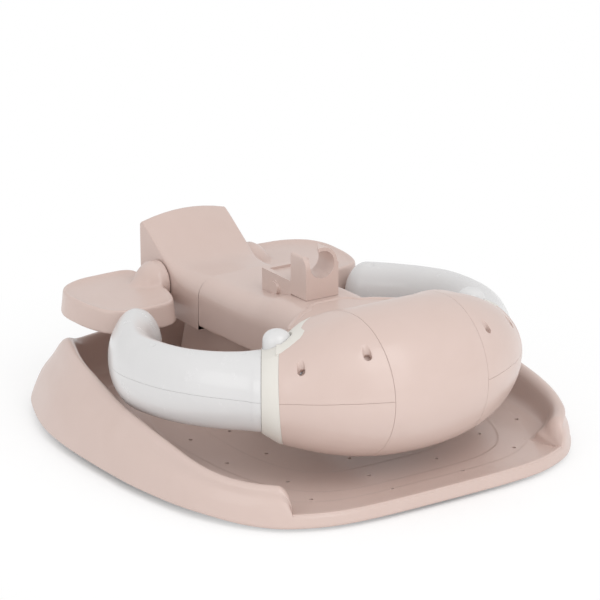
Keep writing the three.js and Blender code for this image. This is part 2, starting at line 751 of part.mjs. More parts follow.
function wingBase(side) {
  const lip = wingLipWidth
  const plate = wingLoft(side, [[wingBottom, lip * 0.4], [wingBottom + lip * 0.2, lip * 0.08],
    [wingBottom + lip * 0.4, 0], [wingSplit, 0]])
  const knuckle = bar(point(side * (knuckleInnerX - overrun), axleY, axleZ),
    point(side * (knuckleOuterX + seatGap), axleY, axleZ), knuckleRadius + seatGap, 20)
  return plate.subtract(knuckle)
}

function wingAxle() {
  return bar(point(-knuckleOuterX + seatGap, axleY, axleZ), point(knuckleOuterX - seatGap, axleY, axleZ),
    axleRadius, 16)
}

// Bumper shells
function counterboreAt(place) {
  const axis = screwAxis(place)
  const seat = place.clone().addScaledVector(axis, counterboreDepth)
  return {
    axis,
    seat,
    sink: bar(place.clone().addScaledVector(axis, -counterboreDepth), seat, counterboreRadius, 12),
    hole: bar(place.clone().addScaledVector(axis, -counterboreDepth), seat.clone().addScaledVector(axis,
      screwShankLength + seatGap), screwShankRadius + seatGap, 6),
    cup: bar(place, seat.clone().addScaledVector(axis, wall), counterboreRadius + wall * 0.7, 12),
  }
}

// A bumper screw runs rearward and down, towards the bumper's axis
function screwAxis(place) {
  const { centre } = bumperStation(place.x / bumperReach * 0.9)
  return centre.clone().sub(place).normalize()
}

const screwPlaces = side => [
  point(side * outerScrewX, outerScrewY, outerScrewZ), point(side * innerScrewX, innerScrewY, innerScrewZ)]

const far = 8 * bumperRadius

// Half-space-like block in front of the collar plane of one side, that is towards the bumper's middle
function insideCollar(side, gap) {
  const { centre, along } = bumperStation(side)
  const block = new THREE.BoxGeometry(far, far, far)
  block.rotateZ(Math.atan2(along.y, along.x))
  const middle = centre.clone().addScaledVector(along, -side * (far / 2 + gap))
  block.translate(middle.x, middle.y, middle.z)
  return solidOf(block)
}

// The collar's tongue takes the rear top of the bumper's end, behind a line in plan
const tongueFrontX = 112
const tongueFrontY = -148
const tongueRearX = 64
const tongueRearY = -127
const tongueBottomZ = 118

function tongueRegion(side, grow) {
  const shape = new THREE.Shape()
  const from = point(tongueFrontX, tongueFrontY, 0)
  const to = point(tongueRearX, tongueRearY, 0)
  const out = point(to.y - from.y, from.x - to.x, 0).normalize()
  const deep = bumperRadius
  const corners = [from.clone().addScaledVector(out, -grow), to.clone().addScaledVector(out, -grow),
    to.clone().addScaledVector(out, deep), from.clone().addScaledVector(out, deep)]
  corners.forEach(({ x, y }, i) => (i ? shape.lineTo(side * x, y) : shape.moveTo(side * x, y)))
  const geometry = new THREE.ExtrudeGeometry(shape, { depth: far, bevelEnabled: false })
  geometry.translate(0, 0, tongueBottomZ - grow)
  const solid = solidOf(geometry)
  return solid.volume() < 0 ? solidOf(turnedOut(solidGeometry(solid))) : solid
}

const pocketRadius = buttonRadius + seamGap
const pocketBottom = armCentreZ + armSwivelRadius + wall
const buttonBossRadius = pocketRadius + wall

function bumperShells() {
  const skin = bumperBody(0).subtract(bumperBody(-bumperWall, overrun))
  const neckWindow = box(-chassisRibX - 2 * wall, chassisRibX + 2 * wall, bumperCentreY, saddleRearY,
    chassisBottom - wall, chassisRibTop + 2 * wall)
  const centre = box(-centreCoverHalf + seamGap / 2, centreCoverHalf - seamGap / 2, -far, far, -far, far)
  const shells = [['bumper_centre_cover', skin.intersect(centre).subtract(neckWindow)]]
  const sides = [[-1, 'left'], [1, 'right']]
  sides.forEach(([side, word]) => {
    const end = centreCoverHalf + seamGap / 2
    const outward = box(Math.min(side * end, side * far), Math.max(side * end, side * far), -far, far, -far, far)
    let half = skin
    screwPlaces(side).forEach(place => {
      const { cup } = counterboreAt(place)
      half = half.add(cup.intersect(bumperBody(-seatGap)))
    })
    half = half.intersect(outward).intersect(insideCollar(side, collarLead + seamGap)).subtract(neckWindow)
    screwPlaces(side).forEach(place => {
      const { sink, hole } = counterboreAt(place)
      half = half.subtract(sink).subtract(hole)
    })
    const boss = bar(point(side * buttonX, buttonY, pocketBottom - wall - seamGap), point(side * buttonX, buttonY,
      far), buttonBossRadius + seamGap, 20)
    const upper = half.intersect(box(-far, far, -far, far, bumperSeamZ + seamGap / 2, far))
      .subtract(tongueRegion(side, seamGap)).subtract(boss)
    const lower = half.intersect(box(-far, far, -far, far, -far, bumperSeamZ - seamGap / 2))
    shells.push([`bumper_${word}_upper_shell`, upper])
    shells.push([`bumper_${word}_lower_shell`, lower])
  })
  return shells
}

const beamRadius = 15
const beamReachShare = 0.93

function bumperBeam(sides = 8, steps = 6) {
  const rings = []
  for (let i = 0; i <= steps; i++) {
    const { centre, rearward } = bumperStation(mix(-beamReachShare, beamReachShare, i / steps))
    const ring = []
    for (let k = 0; k < sides; k++) {
      const angle = (k + 0.5) / sides * 2 * Math.PI
      ring.push(centre.clone().addScaledVector(rearward, beamRadius * Math.cos(angle))
        .add(point(0, 0, beamRadius * Math.sin(angle))))
    }
    rings.push(ring)
  }
  return loft(rings)
}

// Inner frame of the bumper: beam on the curved axis, bulkheads that carry the shells, and a tongue to the chassis
function bumperFrame() {
  const inner = bumperWall + seatGap
  let frame = bumperBeam()
  const space = bumperBody(-inner)
  const bulkheadPlaces = [-centreCoverHalf, 0, centreCoverHalf]
  bulkheadPlaces.forEach(x => {
    frame = frame.add(space.intersect(box(x - wall / 2, x + wall / 2, -far, far, -far, far)))
  })
  frame = frame.add(box(-chassisRibX + 2 * chassisRibThickness, chassisRibX - 2 * chassisRibThickness,
    bumperCentreY, chassisFrontY + 4 * overrun, chassisBottom + chassisPlate + seatGap,
    chassisBottom + chassisPlate + 4 * wall));
  [-1, 1].forEach(side => screwPlaces(side).forEach(place => {
    const { axis, seat, hole } = counterboreAt(place)
    const start = seat.clone().addScaledVector(axis, wall + seatGap)
    const { centre } = bumperStation(place.x / bumperReach * 0.9)
    const boss = bar(start, centre, screwShankRadius + bossWall, 8)
    frame = frame.add(boss.subtract(hole))
  }))
  return frame
}

// Collar: tapered ring that carries the arm's swivel, with the tongue and the button's pocket
function collar(side) {
  const { centre, along } = bumperStation(side)
  const out = along.clone().multiplyScalar(side)
  const rear = centre.clone().addScaledVector(out, collarWidth)
  const frontRing = bumperRing(side, 0, bumperSides)
  const rearRing = bumperRing(side, collarRearRadius - collarFrontRadius, bumperSides, side * collarWidth)
  const leadRing = bumperRing(side, 0, bumperSides, -side * collarLead)
  const body = loft([leadRing, frontRing, rearRing])
  const skin = bumperBody(0).subtract(bumperBody(-bumperWall, overrun))
  const tongue = skin.intersect(tongueRegion(side, 0))
  const boss = bar(point(side * buttonX, buttonY, pocketBottom - wall), point(side * buttonX, buttonY, far),
    buttonBossRadius, 20).intersect(bumperBody(0).add(body))
  const bore = bar(centre.clone().addScaledVector(out, -2 * buttonBossRadius), rear.clone().addScaledVector(out,
    overrun), armSwivelRadius + runningGap, 24)
  const pocket = bar(point(side * buttonX, buttonY, pocketBottom), point(side * buttonX, buttonY, far), pocketRadius,
    20)
  const flangeSide = tongue.subtract(neckFlangeSpace())
  return body.add(boss).add(flangeSide).subtract(bore).subtract(pocket)
}

const neckFlangeSpace = () => box(-tongueRearX, tongueRearX, -far, far, -far, far)

// Arm: C-shaped tube with an upright oval section, from the collar's rear face to a round free end.
// Rows of shares: out to its reach, along to its tip, flare towards the round root, half height up and down
const armShares = [
  [0, 0, 1, 1, 1], [0.248, 0.054, 0.43, 0.97, 0.99], [0.496, 0.125, 0.15, 0.95, 0.99],
  [0.708, 0.214, 0.02, 0.93, 0.995], [0.878, 0.324, 0, 0.91, 1.01], [0.985, 0.465, 0, 0.9, 1.03],
  [1, 0.625, 0.01, 0.895, 1.05], [0.82, 0.765, 0.03, 0.89, 1.05], [0.54, 0.893, 0.06, 0.89, 1.03],
  [0.21, 1, 0.09, 0.9, 1],
]
const armBowRow = armShares.findIndex(([outShare]) => outShare === 1)
const armBowX = trayHalfWidth - armTrayInset
const armTilt = Math.atan2(armTipDrop, armTipY - bumperCentreY - bumperSweep)

function armRoot(side) {
  const { centre, along } = bumperStation(side)
  return {
    out: along.clone().multiplyScalar(side),
    root: centre.clone().addScaledVector(along, side * (collarWidth + runningGap)).setZ(armCentreZ),
  }
}

function armRings(side, sides = 20, capSteps = 3) {
  const { out, root } = armRoot(side)
  const middles = armShares.map(([outShare, alongShare], i) => {
    const inturn = i < armBowRow ? armBowX - side * root.x : armTipTurn
    return point(side * (armBowX - inturn * (1 - outShare)), mix(root.y, armTipY, alongShare),
      armCentreZ - (armTipY - root.y) * alongShare * Math.tan(armTilt))
  })
  const last = middles.length - 1
  const ringAt = (middle, heading, shrink, [, , flareShare, upShare, downShare]) => {
    const across = point(heading.y, -heading.x, 0).normalize()
    const halfWidth = mix(armHalfWidth, armRootRadius, flareShare) * shrink
    const ring = []
    for (let i = 0; i < sides; i++) {
      const angle = i / sides * 2 * Math.PI
      const heightShare = Math.sin(angle) > 0 ? upShare : downShare
      ring.push(middle.clone().addScaledVector(across, halfWidth * Math.cos(angle))
        .add(point(0, 0, armRootRadius * heightShare * shrink * Math.sin(angle))))
    }
    return ring
  }
  const headingAt = i => (i === 0 ? out : middles[Math.min(i + 1, last)].clone().sub(middles[i - 1]).normalize())
  const rings = middles.map((middle, i) => ringAt(middle, headingAt(i), 1, armShares[i]))
  for (let i = 1; i <= capSteps; i++) {
    const angle = i / (capSteps + 0.4) * Math.PI / 2
    const reach = armHalfWidth * Math.sin(angle)
    rings.push(ringAt(middles[last].clone().addScaledVector(headingAt(last), reach), headingAt(last),
      Math.cos(angle), armShares[last]))
  }
  return rings
}

// Everything above the arm's joint plane, or below it, less half the gap
function armSideOfSeam(side, upward) {
  const block = new THREE.BoxGeometry(far, far, far)
  block.translate(0, 0, upward * (far + seatGap) / 2)
  block.rotateX(-armTilt)
  const { root } = armRoot(side)
  block.translate(0, root.y, armCentreZ)
  return solidOf(block)
}

// The lower half carries the whole swivel, so that the upper half stays clear of the release button
function armHalves(side, word) {
  const { out, root } = armRoot(side)
  const at = distance => root.clone().addScaledVector(out, distance)
  const tube = loft(armRings(side))
  const swivel = bar(at(-armSwivelLength), at(-seatGap), armSwivelRadius, 20)
  const tenon = bar(at(-armSwivelLength), at(overrun), armSwivelRadius, 20).intersect(armSideOfSeam(side, -1))
  return [[`${word}_arm_upper_shell`, tube.intersect(armSideOfSeam(side, 1))],
    [`${word}_arm_lower_shell`, tube.intersect(armSideOfSeam(side, -1)).add(swivel).add(tenon)]]
}

// Release button: domed cap over its spring
function releaseButton(side) {
  const bottom = pocketBottom + buttonTravel + seamGap
  const dome = buttonRadius * 0.55
  const profile = [[0, bottom], [buttonRadius, bottom], [buttonRadius, buttonTop - dome]]
  const domeSteps = 3
  for (let i = 1; i < domeSteps; i++) {
    const angle = i / domeSteps * Math.PI / 2
    profile.push([buttonRadius * Math.cos(angle), buttonTop - dome + dome * Math.sin(angle)])
  }
  profile.push([0, buttonTop])
  const well = bar(point(side * buttonX, buttonY, bottom - overrun), point(side * buttonX, buttonY, pocketBottom
    + springLength + seatGap), springRadius + springWire + seatGap, 12)
  return turned(profile, side * buttonX, buttonY, 16).subtract(well)
}

function buttonSpring(side) {
  const from = pocketBottom + seatGap + springWire / 2
  const rise = springLength - springWire - seatGap
  class Helix extends THREE.Curve {
    getPoint(share) {
      const angle = share * springCoils * 2 * Math.PI
      return point(side * buttonX + springRadius * Math.cos(angle), buttonY + springRadius * Math.sin(angle),
        from + rise * share)
    }
  }
  const section = new THREE.Shape()
  const sectionSides = 4
  for (let i = 0; i < sectionSides; i++) {
    const angle = i / sectionSides * 2 * Math.PI
    const x = springWire / 2 * Math.cos(angle)
    const y = springWire / 2 * Math.sin(angle)
    if (i) section.lineTo(x, y)
    else section.moveTo(x, y)
  }
  const geometry = new THREE.ExtrudeGeometry(section, { steps: springCoils * 6, extrudePath: new Helix() })
  return solidOf(geometry)
}

// Hand shower holder: hook block with an open bore and a low tail
function showerHolder() {
  const bottom = platformTop + seatGap
  const hornRadius = holderHalfWidth - wall * 0.45
  const hookShape = new THREE.Shape()
  const hornEnd = THREE.MathUtils.degToRad(112)
  const postStart = THREE.MathUtils.degToRad(150)
  hookShape.moveTo(-holderHalfWidth, bottom)
  hookShape.lineTo(holderHalfWidth, bottom)
  hookShape.lineTo(holderHalfWidth, holderBoreZ)
  hookShape.absarc(0, holderBoreZ, hornRadius, 0, hornEnd, false)
  hookShape.absarc(0, holderBoreZ, holderBoreRadius, hornEnd, postStart - 2 * Math.PI, true)
  hookShape.lineTo(-holderBoreRadius * 0.94, holderPostTop - wall)
  hookShape.quadraticCurveTo(-holderBoreRadius, holderPostTop, -holderHalfWidth * 0.87, holderPostTop)
  hookShape.quadraticCurveTo(-holderHalfWidth, holderPostTop, -holderHalfWidth, holderPostTop - wall)
  const hook = new THREE.ExtrudeGeometry(hookShape, { depth: holderHookDepth, curveSegments: 10,
    bevelEnabled: false })
  hook.rotateX(Math.PI / 2)
  hook.translate(0, holderFrontY + holderHookDepth, 0)
  const hookRear = holderFrontY + holderHookDepth
  const tail = box(-holderHalfWidth, holderHalfWidth, hookRear - seatGap, holderRearY, bottom, holderTailTop)
  const trough = box(-holderHalfWidth + holderCorner, holderHalfWidth - holderCorner, hookRear, holderRearY
    - holderCorner, mix(bottom, holderTailTop, 0.45), holderTailTop + overrun)
  const tab = side => bar(point(side * (holderHalfWidth - seatGap), holderTabY, bottom + holderTabRadius),
    point(side * (holderHalfWidth + holderTabReach), holderTabY, bottom + holderTabRadius), holderTabRadius, 20,
    holderTabRadius * 0.8)
  const round = holderPostRound
  const corner = box(-holderHalfWidth - overrun, -holderBoreRadius * 0.3, holderFrontY - overrun,
    holderFrontY + round, holderPostTop - round, holderPostTop + overrun)
  const kept = bar(point(-holderHalfWidth - 2 * overrun, holderFrontY + round, holderPostTop - round),
    point(0, holderFrontY + round, holderPostTop - round), round, 28)
  return solidOf(hook).subtract(corner.subtract(kept)).add(tail).subtract(trough).add(tab(-1)).add(tab(1))
}

// Assembly
const group = new THREE.Group()
const put = (name, solid, material) => group.add(meshOf(name, solid, material))

put('base_tray', baseTray(), pinkPlastic())
footPlaces.forEach(([word, place]) => put(`suction_foot_${word}`, suctionFoot(place), footRubber()))
put('seat_pedestal', pedestal(), pinkPlastic())
pedestalScrewPlaces.forEach(([x, y], i) => put(`pedestal_screw_${i + 1}`,
  screw(point(x, y, floorUnder - seatGap), point(0, 0, 1)), screwSteel()))
put('seat_chassis', seatChassis(), framePlastic())
put('saddle_shell', saddleShell(), pinkPlastic())
put('back_shell', backShell(), pinkPlastic())
put('wing_axle', wingAxle(), screwSteel())
bumperShells().forEach(([name, solid]) => put(name, solid, pinkPlastic()))
put('bumper_frame', bumperFrame(), framePlastic())
const hands = [[-1, 'left'], [1, 'right']]
hands.forEach(([side, word]) => {
  put(`${word}_wing_pad`, wingPad(side), pinkPlastic())
  put(`${word}_wing_base`, wingBase(side), pinkPlastic())
  put(`${word}_collar`, collar(side), collarPlastic())
  armHalves(side, word).forEach(([name, solid]) => put(name, solid, whitePlastic()))
  put(`${word}_release_button`, releaseButton(side), whitePlastic())
  put(`${word}_button_spring`, buttonSpring(side), screwSteel())
  screwPlaces(side).forEach((place, i) => {
    const { axis, seat } = counterboreAt(place)
    const lift = seat.clone().addScaledVector(axis, -seatGap)
    put(`bumper_screw_${word}_${i ? 'inner' : 'outer'}`, screw(lift, axis), screwSteel())
  })
})
put('shower_holder', showerHolder(), pinkPlastic())

export default group
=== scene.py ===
"""Looks of the baby bath seat: moulded tray, saddle and back, split bumper, lifting arms and fold-up seat wings.

Sizes are written in millimetres and become metres in mm() and at(). The front of the seat faces -Y.
"""

import json
import math

import bmesh
import bpy
import numpy as np
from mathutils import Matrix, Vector


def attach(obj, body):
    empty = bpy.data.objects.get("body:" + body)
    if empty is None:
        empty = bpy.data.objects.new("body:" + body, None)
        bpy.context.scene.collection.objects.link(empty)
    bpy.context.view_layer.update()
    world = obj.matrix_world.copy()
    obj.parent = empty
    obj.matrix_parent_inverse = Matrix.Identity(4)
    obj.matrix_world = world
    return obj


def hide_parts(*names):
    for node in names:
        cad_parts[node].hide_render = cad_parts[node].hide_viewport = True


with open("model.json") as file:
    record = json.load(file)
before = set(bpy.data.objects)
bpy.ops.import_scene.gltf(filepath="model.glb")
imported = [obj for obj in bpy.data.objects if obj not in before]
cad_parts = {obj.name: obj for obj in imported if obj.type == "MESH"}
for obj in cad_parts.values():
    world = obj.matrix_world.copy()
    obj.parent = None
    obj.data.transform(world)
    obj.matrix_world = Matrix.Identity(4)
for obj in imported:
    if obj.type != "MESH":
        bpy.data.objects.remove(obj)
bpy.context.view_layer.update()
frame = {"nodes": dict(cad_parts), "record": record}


# Modelling helpers

def mm(value):
    return value * 0.001


def at(x, y, z):
    return Vector((x, y, z)) * 0.001


def clear_selection():
    bpy.ops.object.select_all(action="DESELECT")


def pick(piece):
    clear_selection()
    piece.select_set(True)
    bpy.context.view_layer.objects.active = piece


def settle(name):
    """Names the new primitive and puts its place into its mesh."""
    piece = bpy.context.object
    piece.name = name
    piece.data.name = name
    bpy.ops.object.transform_apply(location=True, rotation=True, scale=True)
    return piece


def open_mesh(piece):
    """Edit mode on one piece with nothing selected."""
    pick(piece)
    bpy.ops.object.mode_set(mode="EDIT")
    bpy.ops.mesh.select_all(action="DESELECT")
    return bmesh.from_edit_mesh(piece.data)


def close_mesh(piece):
    bpy.ops.object.mode_set(mode="OBJECT")
    return piece


def select_where(piece, wanted, kind="faces"):
    """Selects the faces, edges or vertices that a test picks by place."""
    mesh = bmesh.from_edit_mesh(piece.data)
    for part in getattr(mesh, kind):
        part.select_set(bool(wanted(part)))
    mesh.select_flush_mode()
    bmesh.update_edit_mesh(piece.data)


def point_outwards(piece):
    open_mesh(piece)
    bpy.ops.mesh.select_all(action="SELECT")
    bpy.ops.mesh.remove_doubles(threshold=mm(0.004))
    bpy.ops.mesh.normals_make_consistent(inside=False)
    return close_mesh(piece)


def finish(piece, kind, **settings):
    """Adds one modifier and applies it."""
    pick(piece)
    step = piece.modifiers.new(kind.title(), kind)
    for key, value in settings.items():
        setattr(step, key, value)
    bpy.ops.object.modifier_apply(modifier=step.name)
    return piece


def soften(piece, width, segments=3, angle=35):
    """Rounded edges where two faces meet at more than the angle."""
    return finish(piece, "BEVEL", width=mm(width), segments=segments, limit_method="ANGLE",
                  angle_limit=math.radians(angle), harden_normals=False, use_clamp_overlap=True)


def cut_away(piece, cutter, operation="DIFFERENCE"):
    """Boolean with a cutter, which is then dropped."""
    finish(piece, "BOOLEAN", object=cutter, operation=operation, solver="EXACT")
    bpy.data.objects.remove(cutter)
    return piece


def copy_of(piece, name):
    twin = piece.copy()
    twin.data = piece.data.copy()
    twin.name = name
    twin.data.name = name
    bpy.context.scene.collection.objects.link(twin)
    return twin


def mirrored(piece, name):
    """The same piece on the other hand."""
    twin = copy_of(piece, name)
    open_mesh(twin)
    bpy.ops.mesh.select_all(action="SELECT")
    bpy.ops.transform.resize(value=(-1, 1, 1), center_override=(0, 0, 0))
    bpy.ops.mesh.flip_normals()
    return close_mesh(twin)


def joined(name, *pieces):
    clear_selection()
    for piece in pieces:
        piece.select_set(True)
    bpy.context.view_layer.objects.active = pieces[0]
    bpy.ops.object.join()
    pieces[0].name = name
    return pieces[0]


def sliced(piece, place, normal, fill=False):
    """Keeps the side of a plane that its normal points away from."""
    open_mesh(piece)
    bpy.ops.mesh.select_all(action="SELECT")
    bpy.ops.mesh.bisect(plane_co=place, plane_no=normal, use_fill=fill, clear_outer=True, threshold=1e-6)
    return close_mesh(piece)


def turn(angle, about, axis="Z"):
    """Turns what is selected; the operator counts the other way without a window."""
    bpy.ops.transform.rotate(value=-angle, orient_axis=axis, center_override=about)


def drawn_tube(name, stations, sides, closed=True):
    """Circle drawn along stations of centre, heading, half width and half height, all in millimetres."""
    centre, heading, width, height = stations[0]
    bpy.ops.mesh.primitive_circle_add(vertices=sides, radius=mm(width), location=at(*centre),
                                      rotation=(math.pi / 2, 0, math.pi / 2 + heading))
    tube = settle(name)
    open_mesh(tube)
    bpy.ops.mesh.select_all(action="SELECT")
    bpy.ops.transform.resize(value=(1, 1, height / width), center_override=at(*centre))
    if closed:
        bpy.ops.mesh.edge_face_add()
        bpy.ops.mesh.select_all(action="SELECT")
    for before, after in zip(stations, stations[1:]):
        place = at(*after[0])
        if closed:
            bpy.ops.mesh.extrude_region_move(TRANSFORM_OT_translate={"value": place - at(*before[0])})
        else:
            bpy.ops.mesh.extrude_edges_move(TRANSFORM_OT_translate={"value": place - at(*before[0])})
        if after[1] != before[1]:
            turn(after[1] - before[1], place)
        wider, higher = after[2] / before[2], after[3] / before[3]
        bpy.ops.transform.resize(value=(wider, wider, higher), center_override=place)
    close_mesh(tube)
    return point_outwards(tube) if closed else tube


def lofted(name, rings, caps=True):
    """Wall drawn ring by ring: the open edge is extruded and the new ring laid on its section, in millimetres."""
    count = len(rings[0])
    bpy.ops.mesh.primitive_circle_add(vertices=count, radius=mm(10))
    wall = settle(name)
    mesh = open_mesh(wall)
    mesh.verts.ensure_lookup_table()
    order = list(range(count))
    for index, (x, y, z) in zip(order, rings[0]):
        mesh.verts[index].co = at(x, y, z)
    bpy.ops.mesh.select_all(action="SELECT")
    for ring in rings[1:]:
        bpy.ops.mesh.extrude_edges_move()
        mesh = bmesh.from_edit_mesh(wall.data)
        mesh.verts.ensure_lookup_table()
        spot = {index: i for i, index in enumerate(order)}
        fresh = [None] * count
        for vertex in mesh.verts[-count:]:
            for edge in vertex.link_edges:
                other = edge.other_vert(vertex).index
                if other in spot:
                    fresh[spot[other]] = vertex.index
        for index, (x, y, z) in zip(fresh, ring):
            mesh.verts[index].co = at(x, y, z)
        order = fresh
    if caps:
        bpy.ops.mesh.edge_face_add()
        mesh = bmesh.from_edit_mesh(wall.data)
        mesh.verts.ensure_lookup_table()
        bpy.ops.mesh.select_all(action="DESELECT")
        mesh = bmesh.from_edit_mesh(wall.data)
        mesh.verts.ensure_lookup_table()
        for index in range(count):
            mesh.verts[index].select_set(True)
        mesh.select_flush_mode()
        bpy.ops.mesh.edge_face_add()
    close_mesh(wall)
    return point_outwards(wall)


def rod(name, start, end, radius, sides=48, end_radius=None):
    """Round bar between two points in millimetres."""
    axis = at(*end) - at(*start)
    bpy.ops.mesh.primitive_cone_add(vertices=sides, radius1=mm(radius),
                                    radius2=mm(radius if end_radius is None else end_radius), depth=axis.length,
                                    location=(at(*start) + at(*end)) / 2,
                                    rotation=axis.to_track_quat("Z", "Y").to_euler())
    return settle(name)


def block(name, low, high, spin=0.0):
    """Box between two corners, turned about its own middle."""
    low, high = at(*low), at(*high)
    bpy.ops.mesh.primitive_cube_add(size=1, location=(low + high) / 2, rotation=(0, 0, spin), scale=high - low)
    return settle(name)


def spun(name, profile, x, y, sides=64):
    """Profile of radius and height pairs spun about an upright line."""
    bpy.ops.mesh.primitive_circle_add(vertices=3, radius=mm(1))
    piece = settle(name)
    mesh = open_mesh(piece)
    bmesh.ops.delete(mesh, geom=list(mesh.verts), context="VERTS")
    line = [mesh.verts.new(at(x + radius, y, height)) for radius, height in profile]
    for a, b in zip(line, line[1:]):
        mesh.edges.new((a, b))
    bmesh.update_edit_mesh(piece.data)
    bpy.ops.mesh.select_all(action="SELECT")
    bpy.ops.mesh.spin(steps=sides, angle=2 * math.pi, center=at(x, y, 0), axis=(0, 0, 1))
    close_mesh(piece)
    return point_outwards(piece)


def smooth_line(points, per_span, closed=False):
    """Points along a centripetal curve through the given ones."""
    points = [np.array(p, float) for p in points]
    count = len(points)
    spans = count if closed else count - 1
    line = []
    for i in range(spans):
        if closed:
            p0, p1, p2, p3 = (points[(i + k) % count] for k in (-1, 0, 1, 2))
        else:
            p1, p2 = points[i], points[i + 1]
            p0 = points[i - 1] if i else 2 * p1 - p2
            p3 = points[i + 2] if i + 2 < count else 2 * p2 - p1
        d1, d2, d3 = (max(np.linalg.norm(b - a), 1e-9) ** 0.5 for a, b in ((p0, p1), (p1, p2), (p2, p3)))
        m1 = (p1 - p0) / d1 - (p2 - p0) / (d1 + d2) + (p2 - p1) / d2
        m2 = (p2 - p1) / d2 - (p3 - p1) / (d2 + d3) + (p3 - p2) / d3
        for k in range(per_span):
            t = k / per_span
            line.append((2 * t ** 3 - 3 * t ** 2 + 1) * p1 + (t ** 3 - 2 * t ** 2 + t) * d2 * m1
                        + (3 * t ** 2 - 2 * t ** 3) * p2 + (t ** 3 - t ** 2) * d2 * m2)
    if not closed:
        line.append(points[-1])
    return line


def mix(start, end, share):
    return start + (end - start) * share


def eased(share):
    share = min(1.0, max(0.0, share))
    return share * share * (3 - 2 * share)


# Materials

class Value:
    """A shader socket that can be used in plain sums."""

    def __init__(self, shop, socket):
        self.shop, self.socket = shop, socket

    def _maths(self, operation, first, second):
        return self.shop.add("ShaderNodeMath", {"operation": operation}, {0: first, 1: second})

    def __add__(self, other):
        return self._maths("ADD", self, other)

    def __radd__(self, other):
        return self._maths("ADD", other, self)

    def __sub__(self, other):
        return self._maths("SUBTRACT", self, other)

    def __rsub__(self, other):
        return self._maths("SUBTRACT", other, self)

    def __mul__(self, other):
        return self._maths("MULTIPLY", self, other)

    def __rmul__(self, other):
        return self._maths("MULTIPLY", other, self)


class Finish:
    """One material: a shader with its plain values, and the nodes that vary it."""

    def __init__(self, name, **sockets):
        self.material = bpy.data.materials.new(name)
        self.material.use_nodes = True
        self.nodes = self.material.node_tree.nodes
        self.links = self.material.node_tree.links
        self.shader = self.nodes["Principled BSDF"]
        for socket, value in sockets.items():
            self.shader.inputs[socket.replace("_", " ")].default_value = value

    def add(self, kind, settings=None, inputs=None, output=0):
        node = self.nodes.new(kind)
        for key, value in (settings or {}).items():
            if key == "stops":
                ramp = node.color_ramp
                for i, (place, colour) in enumerate(value):
                    stop = ramp.elements[i] if i < 2 else ramp.elements.new(place)
                    stop.position = place
                    stop.color = colour
            else:
                setattr(node, key, value)
        for key, value in (inputs or {}).items():
            if isinstance(value, Value):
                self.links.new(value.socket, node.inputs[key])
            else:
                node.inputs[key].default_value = value
        return Value(self, node.outputs[output])

    def place(self):
        return self.add("ShaderNodeTexCoord", output="Object")

    def noise(self, scale, detail=3, roughness=0.5, distortion=0.0):
        return self.add("ShaderNodeTexNoise", {}, {"Vector": self.place(), "Scale": scale, "Detail": detail,
                                                   "Roughness": roughness, "Distortion": distortion})

    def between(self, share, low, high):
        """A ramp of two colours over a share."""
        return self.add("ShaderNodeMix", {"data_type": "RGBA"}, {0: share, 6: low, 7: high}, output=2)

    def feed(self, socket, value):
        self.links.new(value.socket, self.shader.inputs[socket])

    def bump(self, height, depth, strength=1.0):
        self.feed("Normal", self.add("ShaderNodeBump", {}, {"Height": height, "Distance": depth,
                                                            "Strength": strength}))


def srgb(red, green, blue):
    def linear(value):
        value /= 255
        return value / 12.92 if value <= 0.04045 else ((value + 0.055) / 1.055) ** 2.4
    return (linear(red), linear(green), linear(blue), 1.0)


def moulded(name, light, dark, rough, grain, coat=0.0, scuffs=0.05, flow=26.0):
    """Moulded plastic: faint flow clouding, a fine spark texture, and dull rubbed patches with hairline scuffs."""
    skin = Finish(name, IOR=1.47, Coat_Weight=coat, Coat_Roughness=0.12)
    clouds = skin.noise(flow, 4, 0.55, 0.6)
    skin.feed("Base Color", skin.between(clouds, light, dark))
    rubbed = skin.add("ShaderNodeMapRange", {}, {"Value": skin.noise(48.0, 5, 0.62), 1: 0.48, 2: 0.78, 3: 0.0, 4: 1.0})
    fine = skin.noise(1400.0, 2, 0.5)
    scratches = skin.add("ShaderNodeTexNoise", {}, {
        "Vector": skin.add("ShaderNodeMapping", {}, {"Vector": skin.place(), "Scale": (900.0, 60.0, 240.0),
                                                     "Rotation": (0.3, 0.5, 0.6)}), "Scale": 1.0, "Detail": 2.0})
    hairlines = skin.add("ShaderNodeMapRange", {}, {"Value": scratches, 1: 0.66, 2: 0.8, 3: 0.0, 4: 1.0})
    skin.feed("Roughness", rough + rubbed * scuffs + (fine - 0.5) * 0.06 + hairlines * (scuffs * 0.5))
    skin.bump(fine * grain + hairlines * rubbed * (-0.25 * grain) + clouds * 0.3, mm(0.12), 0.25)
    return skin.material


pink = moulded("shell_pink", srgb(208, 187, 179), srgb(202, 180, 171), 0.38, 1.0, coat=0.3)
white = moulded("arm_white", srgb(216, 215, 215), srgb(211, 210, 210), 0.24, 0.25, coat=0.25, scuffs=0.06)
ivory = moulded("collar_white", srgb(221, 218, 212), srgb(215, 211, 203), 0.5, 1.0)
nylon = moulded("frame_nylon", srgb(201, 197, 192), srgb(190, 186, 180), 0.55, 1.3)
rubber = moulded("foot_rubber", srgb(214, 212, 208), srgb(204, 202, 197), 0.62, 0.8)


def turned_steel():
    """Zinc-plated screw steel: fine turning marks and duller spots."""
    skin = Finish("screw_steel", Metallic=1.0)
    spots = skin.noise(700.0, 4, 0.6)
    marks = skin.add("ShaderNodeTexWave", {"wave_type": "BANDS", "bands_direction": "Z"},
                     {"Vector": skin.place(), "Scale": 900.0, "Distortion": 1.5, "Detail": 2.0})
    skin.feed("Base Color", skin.between(spots, srgb(176, 179, 183), srgb(140, 142, 146)))
    skin.feed("Roughness", 0.28 + spots * 0.2)
    skin.bump(marks, mm(0.02), 0.3)
    return skin.material


